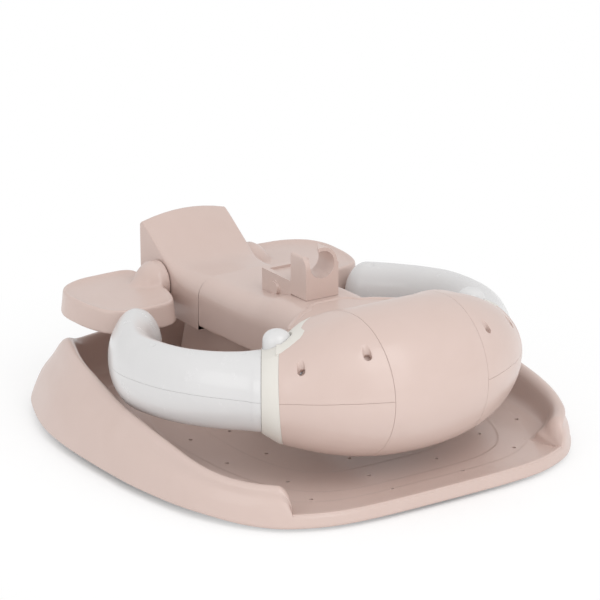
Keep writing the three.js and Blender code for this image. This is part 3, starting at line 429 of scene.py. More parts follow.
steel = turned_steel()
FINISHES = {"shell_pink": pink, "arm_white": white, "collar_white": ivory, "frame_nylon": nylon,
            "foot_rubber": rubber, "screw_steel": steel}


def dress(piece, slot_name, body, *nodes, angle=38):
    """Smooth shading, finish, body and the CAD nodes that the piece stands for."""
    pick(piece)
    bpy.ops.object.shade_smooth_by_angle(angle=math.radians(angle))
    piece.data.materials.clear()
    piece.data.materials.append(FINISHES[slot_name])
    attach(piece, body)
    if nodes:
        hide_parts(*nodes)
    return piece


# Bumper

CENTRE_HALF = 47.8
BUMPER_SEAM_Z = 96.0
SEAM = 0.3
BACK_SEAM = 0.2
COLLAR_LEAD = 1.5
BUMPER_WALL = 3.0


def bumper_station(share):
    """Centre, heading, radius and rearward direction at a share of the bumper's reach."""
    out = abs(share)
    heading = math.radians(33) * out ** 1.4 * (1 if share > 0 else -1)
    radius = 65 - 20 * out ** 2.6
    centre = Vector((share * 101.2, -165.5 + 33.5 * out ** 2.3, 99 - 7 * out ** 2.6))
    return centre, heading, radius


def bumper_skin(offset=0.0, reach=1.0, past=0.0, sides=112, steps=64, closed=False):
    stations = []
    for i in range(steps + 1):
        share = mix(-reach, reach, i / steps)
        centre, heading, radius = bumper_station(share)
        radius += offset
        fullness = 0.04 * math.cos(share * math.pi / 2) * radius
        stations.append(((centre.x, centre.y, centre.z - fullness), heading, radius, radius))
    if past:
        for end, index in ((-1, 0), (1, -1)):
            centre, heading, width, height = stations[index]
            along = (centre[0] + end * past * math.cos(heading), centre[1] + end * past * math.sin(heading), centre[2])
            stations.insert(0 if end < 0 else len(stations), (along, heading, width, height))
    skin = drawn_tube("bumper_skin", stations, sides, closed)
    places = [(np.array(middle), heading) for middle, heading, _, _ in stations]
    for vertex in skin.data.vertices:
        spot = np.array(vertex.co) * 1000
        away = [abs((spot - middle) @ (math.cos(turned), math.sin(turned), 0)) for middle, turned in places]
        middle, turned = places[int(np.argmin(away))]
        spoke = spot - middle
        angle = math.degrees(math.atan2(spoke[2], spoke @ (-math.sin(turned), math.cos(turned), 0)))
        share = abs(middle[0]) / 101.2
        fuller = np.interp(share, *zip(*SHOULDER)) * eased((86 - angle) / 26) * eased((angle - 8) / 34)
        if fuller > 0.01:
            vertex.co = Vector((spot + spoke / np.linalg.norm(spoke) * fuller) * 0.001)
    return skin


SHOULDER = [(0, 0), (0.34, 0), (0.5, 2.2), (0.62, 3.6), (0.75, 4.6), (0.84, 4.4), (0.91, 2.4), (0.97, 0), (2, 0)]


def screw_places():
    """Mouth and inward axis of the right half's screw wells, square to the bumper's tapering skin."""
    places = []
    for share, angle in ((0.89, 139.5), (0.51, 136.5)):
        centre, heading, radius = bumper_station(share)
        centre.z -= 0.04 * math.cos(share * math.pi / 2) * radius
        angle = math.radians(angle)
        out = Vector((-math.sin(heading) * math.cos(angle), math.cos(heading) * math.cos(angle), math.sin(angle)))
        along = Vector((math.cos(heading), math.sin(heading), 0))
        taper = 52 * share ** 1.6 / 101.2
        places.append((centre + out * radius, -(out + along * taper).normalized()))
    return places


def screw_well(place, axis):
    """Cutter of a screw well: a scoop from above with a round bore at its lower end."""
    fall = Vector((0, -math.sin(math.radians(20)), -math.cos(math.radians(20))))
    scoop = rod("scoop", place - fall * 14, place + fall * 4.4, 3.6, 48)
    soften(scoop, 0.8, 3, 60)
    foot = place + fall * 3.4
    bore = rod("bore", foot - axis * 3, foot + axis * 6.5, 3.5, 48)
    return cut_away(scoop, bore, "UNION")


TONGUE_OUTLINE = [(1.05, 120), (1, 116.5), (0.985, 115), (0.945, 111.5), (0.91, 107.5), (0.875, 103.5), (0.855, 99),
                  (0.835, 92.5), (0.843, 87), (0.85, 81.5), (0.822, 74), (0.77, 67), (0.72, 64), (0.66, 62), (0.64, 54),
                  (0.68, 46), (0.8, 41), (0.95, 38), (1.05, 38)]


def tongue_patch(grow=0.0):
    """Space of the right collar's tongue: its outline on the bumper skin, run inwards and outwards."""
    flat = np.array([(share * 112, math.radians(angle) * 52) for share, angle in TONGUE_OUTLINE])
    step = np.roll(flat, -1, axis=0) - np.roll(flat, 1, axis=0)
    step /= np.linalg.norm(step, axis=1)[:, None]
    flat = flat + grow * np.column_stack([-step[:, 1], step[:, 0]])
    rings = []
    for rise in (-20, -6, 6, 30):
        ring = []
        for run, reach in flat:
            centre, heading, radius = bumper_station(run / 112)
            angle = reach / 52
            out = Vector((-math.sin(heading) * math.cos(angle), math.cos(heading) * math.cos(angle), math.sin(angle)))
            ring.append(tuple(centre + out * (radius + rise)))
        rings.append(ring)
    return lofted("tongue_patch", rings)


def collar_plane(gap):
    """Point and outward normal of the plane just inside the right collar's front face."""
    centre, heading, _ = bumper_station(1)
    along = Vector((math.cos(heading), math.sin(heading), 0))
    back = Vector((-along.y, along.x, 0))
    out = (along + back * 0.056 - Vector((0, 0, 0.044))).normalized()
    return (centre - along * COLLAR_LEAD - out * gap) * 0.001, out


END_SEAM = [(40, 99.7), (48, 99.8), (68, 100.2), (88, 100), (115, 98.1), (140, 94.5)]


def seam_sheet(low, high, shift):
    """Block with a bent top or bottom that parts the end shells."""
    ends = [(x, shift + z) for x, z in END_SEAM]
    outline = ends + [(x, high if low is None else low) for x, _ in reversed(ends)]
    return lofted("seam_sheet", [[(x, y, z) for x, z in outline] for y in (-260, -60)])


def build_bumper():
    skin = bumper_skin(past=3)
    half = SEAM / 2
    shells = {}
    centre = copy_of(skin, "front_housing")
    sliced(centre, at(CENTRE_HALF - half, 0, 0), (1, 0, 0))
    sliced(centre, at(-CENTRE_HALF + half, 0, 0), (-1, 0, 0))
    finish(centre, "SOLIDIFY", thickness=mm(BUMPER_WALL), offset=-1)
    shells["bumper_centre_cover"] = centre
    place, out = collar_plane(0.12)
    end = copy_of(skin, "end")
    sliced(end, place, out)
    sliced(end, at(CENTRE_HALF + half, 0, 0), (-1, 0, 0))
    finish(end, "SOLIDIFY", thickness=mm(BUMPER_WALL), offset=-1)
    upper, lower = copy_of(end, "end_upper"), end
    cut_away(upper, seam_sheet(0, None, half))
    cut_away(lower, seam_sheet(None, 200, -half))
    cut_away(upper, tongue_patch(SEAM))
    for spot, axis in screw_places():
        cut_away(upper, rod("cup", spot + axis * 2, spot + axis * 10.5, 9.5, 48), "UNION")
        cut_away(upper, screw_well(spot, axis))
    shells["bumper_right_upper_shell"] = upper
    shells["bumper_right_lower_shell"] = lower
    bpy.data.objects.remove(skin)
    neck = block("neck", (-33, -165.5, 75), (33, 93, 118))
    cut_away(centre, neck)
    for name, piece in list(shells.items()):
        soften(piece, 0.45, 2, 40)
    shells["bumper_left_upper_shell"] = mirrored(upper, "left_upper")
    shells["bumper_left_lower_shell"] = mirrored(lower, "left_lower")
    for node, piece in shells.items():
        piece.name = node.replace("bumper_", "bumper_finished_")
        dress(piece, "shell_pink", "base", node)


build_bumper()


# Collars and buttons

BUTTON = (101.2, -126.5)


def build_collars():
    centre, heading, _ = bumper_station(1)
    along = Vector((math.cos(heading), math.sin(heading), 0))
    stations = []
    for share in (0.86, 0.89, 0.92, 0.95, 0.975, 1):
        middle, turned, radius = bumper_station(share)
        stations.append((tuple(middle), turned, radius, radius))
    stations += [(tuple(centre + along), heading, 45, 45), (tuple(centre + along * 16), heading, 36, 36)]
    ring = drawn_tube("collar", stations, 112)
    place, out = collar_plane(0)
    sliced(ring, place, -out, fill=True)
    boss = rod("boss", (*BUTTON, 114), (*BUTTON, 150), 16.3, 64)
    cut_away(boss, bumper_skin(-BUMPER_WALL, closed=True), "INTERSECT")
    cut_away(ring, boss, "UNION")
    tongue = bumper_skin(-0.08, past=4)
    place, out = collar_plane(-2.5)
    sliced(tongue, place, out)
    sliced(tongue, at(60, 0, 0), (-1, 0, 0))
    sliced(tongue, at(0, 0, 110), (0, 0, -1))
    finish(tongue, "SOLIDIFY", thickness=mm(BUMPER_WALL + 0.3), offset=-1)
    cut_away(tongue, tongue_patch(), "INTERSECT")
    cut_away(ring, tongue, "UNION")
    cut_away(ring, rod("bore", centre - along * 40, centre + along * 30, 22.6, 64))
    cut_away(ring, rod("pocket", (*BUTTON, 117), (*BUTTON, 200), 12.7, 64))
    soften(ring, 0.35, 2, 40)
    left = mirrored(ring, "left_collar_band")
    ring.name = "right_collar_band"
    dress(ring, "collar_white", "base", "right_collar")
    dress(left, "collar_white", "base", "left_collar")


def build_buttons():
    profile = smooth_line([(0.01, 144.9), (4, 144.6), (7, 143.6), (9.8, 141.6), (11.6, 138.8), (12.4, 135.5), (12.5, 131)], 4)
    cap = spun("right_button_cap", profile + [(12.5, 120.4), (0.01, 120.4)], *BUTTON, sides=72)
    left = mirrored(cap, "left_button_cap")
    dress(cap, "arm_white", "right_button", "right_release_button")
    dress(left, "arm_white", "left_button", "left_release_button")


build_collars()
build_buttons()


# Arms

ARM_ROOT_Z, ARM_TIP_Y, ARM_TIP_DROP, ARM_REACH = 92.0, 68.5, 12.0, 164.2
ARM_ROWS = [(0, 0, 1, 1, 1), (0.248, 0.054, 0.43, 0.97, 0.99), (0.496, 0.125, 0.15, 0.95, 0.99),
            (0.708, 0.214, 0.02, 0.93, 0.995), (0.878, 0.324, 0, 0.91, 1.01), (0.985, 0.465, 0, 0.9, 1.03),
            (1, 0.625, 0.01, 0.895, 1.05), (0.82, 0.765, 0.03, 0.89, 1.05), (0.54, 0.893, 0.06, 0.89, 1.03),
            (0.21, 1, 0.09, 0.9, 1)]
ARM_DENTS = [((168.6, -35.0, 117.1), (0.35, 0.02, 0.93)), ((126.8, -115, 125.6), (0.1, 0.04, 0.99)),
             ((124.8, 61.3, 111.2), (-0.27, -0.19, 0.94))]
ARM_TILT = math.atan2(ARM_TIP_DROP, ARM_TIP_Y + 132)


def arm_root():
    centre, heading, _ = bumper_station(1)
    along = Vector((math.cos(heading), math.sin(heading), 0))
    root = centre + along * 16.3
    root.z = ARM_ROOT_Z
    return root, along


def arm_stations():
    root, along = arm_root()
    rows = []
    for out, run, flare, above, below in ARM_ROWS:
        y = mix(root.y, ARM_TIP_Y, run)
        rows.append((mix(root.x, ARM_REACH, out), y, ARM_ROOT_Z - (y - root.y) * math.tan(ARM_TILT),
                     mix(21, 35, flare), 35 * above, 35 * below))
    line = smooth_line(rows, 7)
    stations = []
    for i, row in enumerate(line):
        step = line[min(i + 1, len(line) - 1)] - line[max(i - 1, 0)]
        heading = math.atan2(along.y, along.x) if i == 0 else math.atan2(step[1], step[0])
        stations.append([row[0], row[1], row[2], heading, row[3], row[4], row[5]])
    last = stations[-1]
    for i in range(1, 11):
        angle = i / 10.15 * math.pi / 2
        reach = 21 * math.sin(angle)
        shrink = math.cos(angle)
        stations.append([last[0] + reach * math.cos(last[3]), last[1] + reach * math.sin(last[3]), last[2], last[3],
                         last[4] * shrink, last[5] * shrink, last[6] * shrink])
    return [((x, y, z - (below - above) / 2), heading, wide, (above + below) / 2)
            for x, y, z, heading, wide, above, below in stations]


def press_dent(piece, place, lean):
    """Shallow round gate mark on the skin."""
    lean = Vector(lean).normalized()
    bpy.ops.mesh.primitive_uv_sphere_add(segments=64, ring_count=48, radius=mm(8.6),
                                         location=at(*(Vector(place) + lean * 8.0)))
    cut_away(piece, settle("dent"))


def build_arms():
    root, along = arm_root()
    whole = drawn_tube("arm", arm_stations(), 96)
    sliced(whole, root * 0.001, -along, fill=True)
    upper, lower = whole, copy_of(whole, "arm_lower")
    normal = Vector((0, math.sin(ARM_TILT), math.cos(ARM_TILT)))
    seam = Vector((0, root.y, ARM_ROOT_Z))
    sliced(upper, (seam + normal * 0.1) * 0.001, -normal, fill=True)
    sliced(lower, (seam - normal * 0.1) * 0.001, normal, fill=True)
    cut_away(lower, rod("hub", root - along * 14, root - along * 0.3, 22, 64), "UNION")
    tenon = rod("tenon", root - along * 14, root + along * 5, 22, 64)
    sliced(tenon, (seam - normal * 0.1) * 0.001, normal, fill=True)
    cut_away(lower, tenon, "UNION")
    for piece in (upper, lower):
        soften(piece, 0.3, 2, 40)
        point_outwards(piece)
    for place, lean in ARM_DENTS[:2]:
        press_dent(upper, place, lean)
    for word, piece in (("upper", upper), ("lower", lower)):
        left = mirrored(piece, f"left_arm_{word}_half")
        if word == "upper":
            press_dent(piece, *ARM_DENTS[2])
        piece.name = f"right_arm_{word}_half"
        dress(piece, "arm_white", "right_arm", f"right_arm_{word}_shell")
        dress(left, "arm_white", "left_arm", f"left_arm_{word}_shell")


build_arms()


# Saddle and back

SADDLE_REAR_Y, SADDLE_FRONT_Y = 93.0, -128.0
SADDLE_ROWS = [(1.03, 0), (1, 0), (0.86, 0.04), (0.7, 0.2), (0.56, 0.62), (0.48, 0.96), (0.4, 1), (0, 1)]


def arch(y, half_width, bottom, top, corner_wide, corner_high, crown=0.0, arc=14):
    """Upright arch section: straight sides, elliptic shoulders and a slightly crowned top."""
    right = [(half_width, y, mix(bottom, top - corner_high, k / 6)) for k in range(6)]
    for i in range(arc + 1):
        angle = i / arc * math.pi / 2
        right.append((half_width - corner_wide + corner_wide * math.cos(angle), y,
                      top - corner_high + corner_high * math.sin(angle)))
    inner = half_width - corner_wide
    for k in (1, 2, 3):
        x = inner * (1 - k / 4)
        right.append((x, y, top + crown * (1 - (x / inner) ** 2)))
    middle = [(0.0, y, top + crown)]
    return right + middle + [(-x, y, z) for x, y, z in reversed(right)]


RIDGE = [(0, -49.5, 130.9), (14, -49.8, 130.9), (21, -53.5, 130.9), (27, -61, 130.9), (38, -66.5, 130.9),
         (48, -74.5, 130.9), (57, -83, 131.2), (66, -91.5, 132), (73, -100, 134), (78, -109, 136.5)]


def ridge_line(per_span=5):
    half = smooth_line(RIDGE, per_span)
    return [np.array((-x, y, z)) for x, y, z in reversed(half[1:])] + list(half)


def flange_rings():
    """Level platform between the saddle and the bumper, widening to both sides."""
    rings = []
    for x, y, z in ridge_line():
        tip = eased((abs(x) - 55) / 23)
        front = (x * 0.93, mix(-118, -121, tip))
        middle = (mix(front[0], x, 0.5), mix(front[1], y, 0.5))
        rings.append([(*front, z - 0.4), (*middle, z - 0.1), (x, y - 1.5, z), (x, y - 0.4, z - 0.5),
                      (x * 1.01, y + 0.6, z - 2.5), (x * 1.015, y + 1.6, 116), (x * 1.02, y + 2.4, 98),
                      (*middle, 92), (*front, 96)])
    return rings


def ridge_bead():
    """Rounded bead along the platform's rear edge."""
    line = ridge_line(6)
    stations = []
    for i, (x, y, z) in enumerate(line):
        step = line[min(i + 1, len(line) - 1)] - line[max(i - 1, 0)]
        size = 1 - 0.4 * eased((abs(x) - 60) / 18)
        stations.append(((x, y - 2.4, z - 0.5), math.atan2(step[1], step[0]), 2.7 * size, 1.5 * size))
    return drawn_tube("bead", stations, 20)


def saddle_rings(inset=0.0):
    rings = []
    for along, rise, in smooth_line(SADDLE_ROWS, 5):
        y = mix(SADDLE_FRONT_Y, SADDLE_REAR_Y, along)
        bottom = mix(80, 73, along) - (10 if inset else 0)
        top = mix(119.6, 130.6, rise) - inset
        rings.append(arch(y, 46 - inset, bottom, top, 19, mix(19, 27, rise)))
    return rings


def build_saddle():
    saddle = lofted("saddle_finished", saddle_rings())
    flange = lofted("flange", flange_rings())
    cut_away(saddle, flange, "UNION")
    finish(saddle, "REMESH", mode="VOXEL", voxel_size=mm(1.3), use_smooth_shade=True)
    finish(saddle, "SMOOTH", factor=0.5, iterations=7)
    cut_away(saddle, ridge_bead(), "UNION")
    sliced(saddle, at(0, SADDLE_REAR_Y, 0), (0, 1, 0), fill=True)
    hollow = lofted("hollow", saddle_rings(3.0))
    cut_away(saddle, hollow)
    cut_away(saddle, bumper_skin(SEAM, closed=True))
    dress(saddle, "shell_pink", "base", "saddle_shell")


BACK_ROWS = [(0, 0.06, 1), (0.18, 0, 0.85), (0.36, 0, 0.66), (0.45, 0.045, 0.46), (0.54, 0.15, 0.27),
             (0.64, 0.32, 0.15), (0.91, 0.9, 0.1), (0.97, 1, 0.1), (1, 0.94, 0.1)]


def back_rings(inset=0.0):
    rings = []
    for along, rise, corner in smooth_line(BACK_ROWS, 6):
        y = mix(SADDLE_REAR_Y + BACK_SEAM, 198, along)
        top = mix(117.5, 148.5, rise) - inset * 1.15
        crown = 6 * eased((along - 0.42) / 0.58)
        round_ = max(19 * corner - inset * 0.7, 1.6)
        rings.append(arch(min(y, 198 - inset), 46.2 - inset, 70 - (10 if inset else 0), top, round_, round_, crown))
    return rings


def build_back():
    back = lofted("back_finished", back_rings())
    sliced(back, at(0, SADDLE_REAR_Y + BACK_SEAM, 0), (0, -1, 0), fill=True)
    cut_away(back, lofted("hollow", back_rings(3.0)))
    cut_away(back, rod("bore", (-60, 161, 99.5), (60, 161, 99.5), 5.3))
    dress(back, "shell_pink", "base", "back_shell")


build_saddle()
build_back()


# Seat wings

AXLE_Y, AXLE_Z = 161.0, 99.5
WING_IN, WING_OUT, WING_FRONT, WING_DEPTH = 53.5, 145.4, 90.0, 112.0
WING_ROWS = [(0.007, 0.87), (0.05, 0.965), (0.13, 0.998), (0.367, 1), (0.668, 0.975), (0.889, 0.87), (0.989, 0.7),
             (1, 0.5), (0.972, 0.29), (0.897, 0.12), (0.794, 0.05), (0.604, 0.015), (0.4, 0.01), (0.25, 0.03),
             (0.165, 0.085), (0.11, 0.17), (0.065, 0.28), (0.03, 0.4), (0.008, 0.52), (0, 0.66)]


def wing_rings(levels):
    corners = [(mix(WING_IN, WING_OUT, x), WING_FRONT + y * WING_DEPTH) for x, y in WING_ROWS]
    outline = smooth_line(corners, 6, closed=True)
    middle = np.array([mix(WING_IN, WING_OUT, 0.5), WING_FRONT + 0.55 * WING_DEPTH])
    rings = []
    for height, inset in levels:
        ring = []
        for p in outline:
            reach = middle - p
            share = inset / max(np.linalg.norm(reach), 6)
            x, y = p + reach * share
            ring.append((x, y, height))
        rings.append(ring)
    return rings


FAIRING_ROWS = [(0.15, 0, 0.97), (0.34, 0.02, 0.94), (0.5, 0.1, 0.82), (0.64, 0.26, 0.66), (1, 0.58, 0.44)]


def fairing_rings():
    rings = []
    for reach, drop, size in smooth_line(FAIRING_ROWS, 5):
        x, z = 47 + 36 * reach, AXLE_Z - 20 * drop
        rings.append([(x, AXLE_Y + 20 * size * math.cos(a), z + 20 * size * math.sin(a))
                      for a in np.linspace(0, 2 * math.pi, 48, endpoint=False)])
    return rings


def build_wings():
    pad = lofted("right_wing_top", wing_rings([
        (80.6, -2), (84, -1.7), (91, -0.8), (98.6, 0), (100.8, 0.3), (102, 0.9), (102.5, 2), (102.4, 3.4), (101.6, 5),
        (100.6, 7.5), (99.8, 12), (99.5, 18)]))
    knuckle = rod("knuckle", (47, AXLE_Y, AXLE_Z), (58, AXLE_Y, AXLE_Z), 20, 96)
    cut_away(pad, knuckle, "UNION")
    cut_away(pad, lofted("fairing", fairing_rings()), "UNION")
    finish(pad, "REMESH", mode="VOXEL", voxel_size=mm(1.1), use_smooth_shade=True)
    finish(pad, "SMOOTH", factor=0.5, iterations=4)
    root = pad.vertex_groups.new(name="root")
    root.add([v.index for v in pad.data.vertices if v.co.x > mm(56) and abs(v.co.y - mm(AXLE_Y)) < mm(30)
              and v.co.x < mm(98) and v.co.z > mm(96)], 1.0, "REPLACE")
    finish(pad, "SMOOTH", factor=0.5, iterations=36, vertex_group="root")
    pad.vertex_groups.clear()
    sliced(pad, at(0, 0, 77), (0, 0, -1), fill=True)
    cut_away(pad, rod("bore", (40, AXLE_Y, AXLE_Z), (58.3, AXLE_Y, AXLE_Z), 5.3))
    base = lofted("right_wing_under", wing_rings([(79.5, 4.2), (79.7, 2.6), (80.1, 1.9), (80.3, 1.9), (80.4, 1.9)]))
    cut_away(base, rod("clear", (42, AXLE_Y, AXLE_Z), (58.3, AXLE_Y, AXLE_Z), 20.3, 96))
    for node, piece in (("wing_pad", pad), ("wing_base", base)):
        left = mirrored(piece, piece.name.replace("right", "left"))
        dress(piece, "shell_pink", "right_wing", f"right_{node}")
        dress(left, "shell_pink", "left_wing", f"left_{node}")


build_wings()


# Tray

TRAY_HALF, TRAY_REACH = 214.0, 233.0
EDGE_BOTTOM, EDGE_TOP, FLOOR_TOP, FLOOR_WALL = 6.0, 11.0, 13.8, 3.0
TRAY_ROWS = [(0, -1), (0.173, -0.999), (0.346, -0.994), (0.525, -0.97), (0.694, -0.899), (0.76, -0.842),
             (0.807, -0.791), (0.858, -0.71), (0.902, -0.619), (0.937, -0.513), (0.963, -0.389), (0.984, -0.255),
             (0.994, -0.1), (1, 0.067), (0.996, 0.252), (0.972, 0.419), (0.911, 0.601), (0.85, 0.728),
             (0.729, 0.858), (0.55, 0.945), (0.34, 0.988), (0.17, 0.998), (0, 1)]
RIM_HEIGHTS = [(-1, 0), (-0.716, 0), (-0.54, 0.16), (-0.397, 0.316), (-0.217, 0.474), (-0.052, 0.594),
               (0.104, 0.777), (0.26, 0.916), (0.43, 0.984), (0.65, 1), (0.76, 0.86), (0.88, 0.46), (1, 0.35)]
RIM_INSETS = [(-1, 0.35), (-0.716, 0.342), (-0.54, 0.458), (-0.397, 0.597), (-0.217, 0.706), (-0.052, 0.744),
              (0.104, 0.847), (0.26, 0.93), (0.43, 0.97), (0.65, 0.994), (1, 1)]
NOSE_HALF_GAP, NOSE_ROUND, NOSE_CORNER, NOSE_HEIGHT, RIM_HEIGHT, RIM_INSET = 142.0, 15.0, 10.0, 38.0, 69.0, 36.0
LIP_HEIGHT, LIP_INSET, LIP_FLOOR_INSET = 15.6, 4.5, 10.0
DRAINS = [(0.373, -0.064), (0.379, -0.334), (0.124, -0.543), (0.563, -0.064), (0.572, -0.339), (0.473, -0.613),
          (0.165, -0.725), (0.701, -0.575), (0.497, -0.802), (0.172, -0.882), (0.469, 0.198)]


def blurred(values, reach, step, closed=True):
    """Even samples along the edge, smoothed over a reach in millimetres."""
    count = int(3 * reach / step)
    weights = np.exp(-0.5 * (np.arange(-count, count + 1) * step / reach) ** 2)
    weights /= weights.sum()
    values = np.asarray(values, float)
    return sum(w * np.roll(values, k, axis=0) for k, w in zip(range(-count, count + 1), weights))


def tray_stations():
    """Edge point, inward direction, nose share, rim height and rim inset round the whole tray."""
    half = [(x * TRAY_HALF, y * TRAY_REACH) for x, y in TRAY_ROWS]
    loop = half + [(-x, y) for x, y in reversed(half[1:-1])]
    dense = np.array(smooth_line(loop, 24, closed=True))
    run = np.concatenate([[0], np.cumsum(np.linalg.norm(np.roll(dense, -1, axis=0) - dense, axis=1))])
    total = run[-1]
    step = 0.5
    marks = np.arange(0, total, total / round(total / step))
    wrapped = np.vstack([dense, dense[:1]])
    even = np.column_stack([np.interp(marks, run, wrapped[:, k]) for k in (0, 1)])
    even = blurred(even, 7, step)
    share = even[:, 1] / TRAY_REACH
    height = NOSE_HEIGHT + (RIM_HEIGHT - NOSE_HEIGHT) * np.interp(share, *zip(*RIM_HEIGHTS))
    inset = RIM_INSET * np.interp(share, *zip(*RIM_INSETS))
    height, inset = blurred(height, 16, step), blurred(inset, 16, step)
    tangent = np.roll(even, -2, axis=0) - np.roll(even, 2, axis=0)
    tangent /= np.linalg.norm(tangent, axis=1)[:, None]
    tangent = blurred(tangent, 5, step)
    nose = np.where(even[:, 1] > 0, 1e3, np.abs(even[:, 0]) - NOSE_HALF_GAP)
    along = np.where(even[:, 1] > 0, 1e3, nose / np.maximum(np.abs(tangent[:, 0]), 0.2))
    end = np.clip(along / NOSE_ROUND, 0, 1)
    keep, last = [], -10.0
    for i, mark in enumerate(marks):
        spacing = 0.5 if -2 < along[i] < NOSE_ROUND + 1 else 4.0
        if mark - last >= spacing - 1e-6:
            keep.append(i)
            last = mark
    shapes = []
    for i in keep:
        near = eased(1 - max(0.0, along[i]) / 75) if along[i] < 900 else 0.0
        nose = eased((-share[i] - 0.6) / 0.3)
        inward = np.array([-tangent[i, 1], tangent[i, 0]]) / np.linalg.norm(tangent[i])
        shapes.append((even[i], inward, end[i], (height[i], inset[i], near, nose)))
    return shapes


def tray_section(end, full_height, full_inset, near, nose):
    """Inset and height pairs from the floor's edge over the rim and back underneath."""
    rise = math.sqrt(max(0.0, 1 - (1 - end) ** 2))
    crest_z = mix(LIP_HEIGHT, full_height, rise)
    blend = math.sqrt(max(0.0, 1 - (1 - min(1.0, end * NOSE_ROUND / NOSE_CORNER)) ** 2))
    crest_in = mix(LIP_INSET, full_inset - 1.5 * near, blend)
    round_ = mix((LIP_FLOOR_INSET - LIP_INSET) * 0.4, 6.5 + 4.5 * near, blend)
    wall_in = crest_in + mix((LIP_FLOOR_INSET - LIP_INSET) * 0.6, 8.5 + 9 * near, blend)
    sink = min(round_ * mix(0.4, 0.95, blend), (crest_z - FLOOR_TOP) * 0.7)
    fillet = min(mix(max(LIP_FLOOR_INSET - wall_in, 0.5), 8, blend), (crest_z - FLOOR_TOP) * 0.6)
    floor_in = mix(LIP_FLOOR_INSET, wall_in + 8, blend)
    lower = EDGE_BOTTOM - 2.7 * nose
    low = (crest_in * mix(0.27, 0.18, near * blend), mix(EDGE_TOP, crest_z, mix(0.47, 0.41, blend)))
    high = (crest_in * mix(0.58, 0.48, near * blend), mix(EDGE_TOP, crest_z, mix(0.73, 0.70, blend)))
    top = [(floor_in, FLOOR_TOP), (mix(wall_in, floor_in, 0.35), FLOOR_TOP + fillet * 0.3),
           (wall_in, FLOOR_TOP + fillet), (crest_in + round_ * 0.98, crest_z - sink),
           (crest_in + round_ * 0.55, crest_z - sink * 0.3), (crest_in, crest_z),
           (crest_in - min(round_, 7) * 0.8, crest_z - min(sink, 7) * 0.33), high, low, (0.6, EDGE_TOP - 1.5 * nose), (0, lower + 2.8),
           (0.5, lower + 0.8), (1.8, lower)]
    bottom = FLOOR_TOP - FLOOR_WALL
    under = [(3.9, lower), (mix(4.2, low[0] + 3, blend), max(mix(7, low[1] - 3, blend), EDGE_BOTTOM + 0.6)),
             (mix(4.8, high[0] + 1.8, blend), max(mix(9, high[1] - 3, blend), EDGE_BOTTOM + 1.2)),
             (mix(5.6, crest_in, blend), mix(bottom - 0.4, crest_z - 3, blend)),
             (mix(7.2, wall_in - 3, blend), mix(bottom, FLOOR_TOP + fillet - 1, blend)), (floor_in, bottom)]
    top = smooth_line(top, 3)
    return [tuple(p) for p in top] + under


def build_tray():
    stations = tray_stations()
    sections = [tray_section(end, *shape) for _, _, end, shape in stations]

    def scaled(share, centre_share, height):
        middle = centre_share * TRAY_REACH
        return [(edge[0] * share, mix(middle, edge[1], share), height) for edge, _, _, _ in stations]
    rings = []
    for share, centre_share, low in ((0.46, -0.34, 1.4), (0.64, -0.48, 0.9)):
        for ahead, rise in ((-0.014, 0), (-0.005, 0), (-0.001, 0.15), (0.003, 0.42), (0.008, 0.5), (0.02, 0.5)):
            rings.append(scaled(share + ahead, centre_share, FLOOR_TOP - low + rise))
    for ahead, rise in ((3.2, 0), (1.2, 0), (0.3, 0.12), (-0.7, 0.36), (-1.6, 0.4), (-3.4, 0.4)):
        ring = []
        for (edge, inward, _, _), section in zip(stations, sections):
            toward = (edge - np.array([0, -0.48 * TRAY_REACH])) * 0.225
            inset = max(float(-toward @ inward), section[0][0] + 4)
            ring.append((edge[0] + inward[0] * (inset + ahead), edge[1] + inward[1] * (inset + ahead),
                         FLOOR_TOP - 0.4 + rise))
        rings.append(ring)
    for k in range(len(sections[0])):
        ring = []
        for (edge, inward, _, _), section in zip(stations, sections):
            inset, height = section[k]
            ring.append((edge[0] + inward[0] * inset, edge[1] + inward[1] * inset, height))
        rings.append(ring)
    rings.append(scaled(0.648, -0.48, FLOOR_TOP - FLOOR_WALL - 0.7))
    tray = lofted("tray_finished", rings)
    drains = []
    for x_share, y_share in DRAINS:
        for side in (-1, 1):
            x, y = side * x_share * TRAY_HALF, y_share * TRAY_REACH
            drains.append(rod("drain", (x, y, 0), (x, y, 16.0), 1.9, 24))
    cutter = drains[0]
    for drain in drains[1:]:
        cut_away(cutter, drain, "UNION")
    cut_away(tray, cutter)
    plinth = lofted("plinth", rounded_block(0, 105, 34, 62, [(11, 1, 12), (15.2, 1, 10.9), (15.8, 1, 10.3)]))
    tray = joined("tray_finished", tray, plinth)
    dress(tray, "shell_pink", "base", "base_tray", angle=50)


def rounded_block(x, y, half_x, half_y, levels, steps=72, power=4):
    rings = []
    for height, size, grow in levels:
        ring = []
        for i in range(steps):
            angle = i / steps * 2 * math.pi
            c, s = math.cos(angle), math.sin(angle)
            reach = (abs(c) ** power + abs(s) ** power) ** (-1 / power)
            ring.append((x + c * reach * (half_x * size + grow), y + s * reach * (half_y * size + grow), height))
        rings.append(ring)
    return rings


def build_pedestal():
    levels = [(16.1, 1, 9), (19.4, 1, 9), (20.1, 1, 8.3), (21.2, 1, 4.5), (24.1, 1, 0), (69.7, 0.86, 0), (73.7, 1, 0),
              (77.7, 1, 0)]
    pedestal = lofted("pedestal_finished", rounded_block(0, 105, 34, 62, levels))
    dress(pedestal, "shell_pink", "base", "seat_pedestal", angle=30)


build_tray()
build_pedestal()


# Shower holder

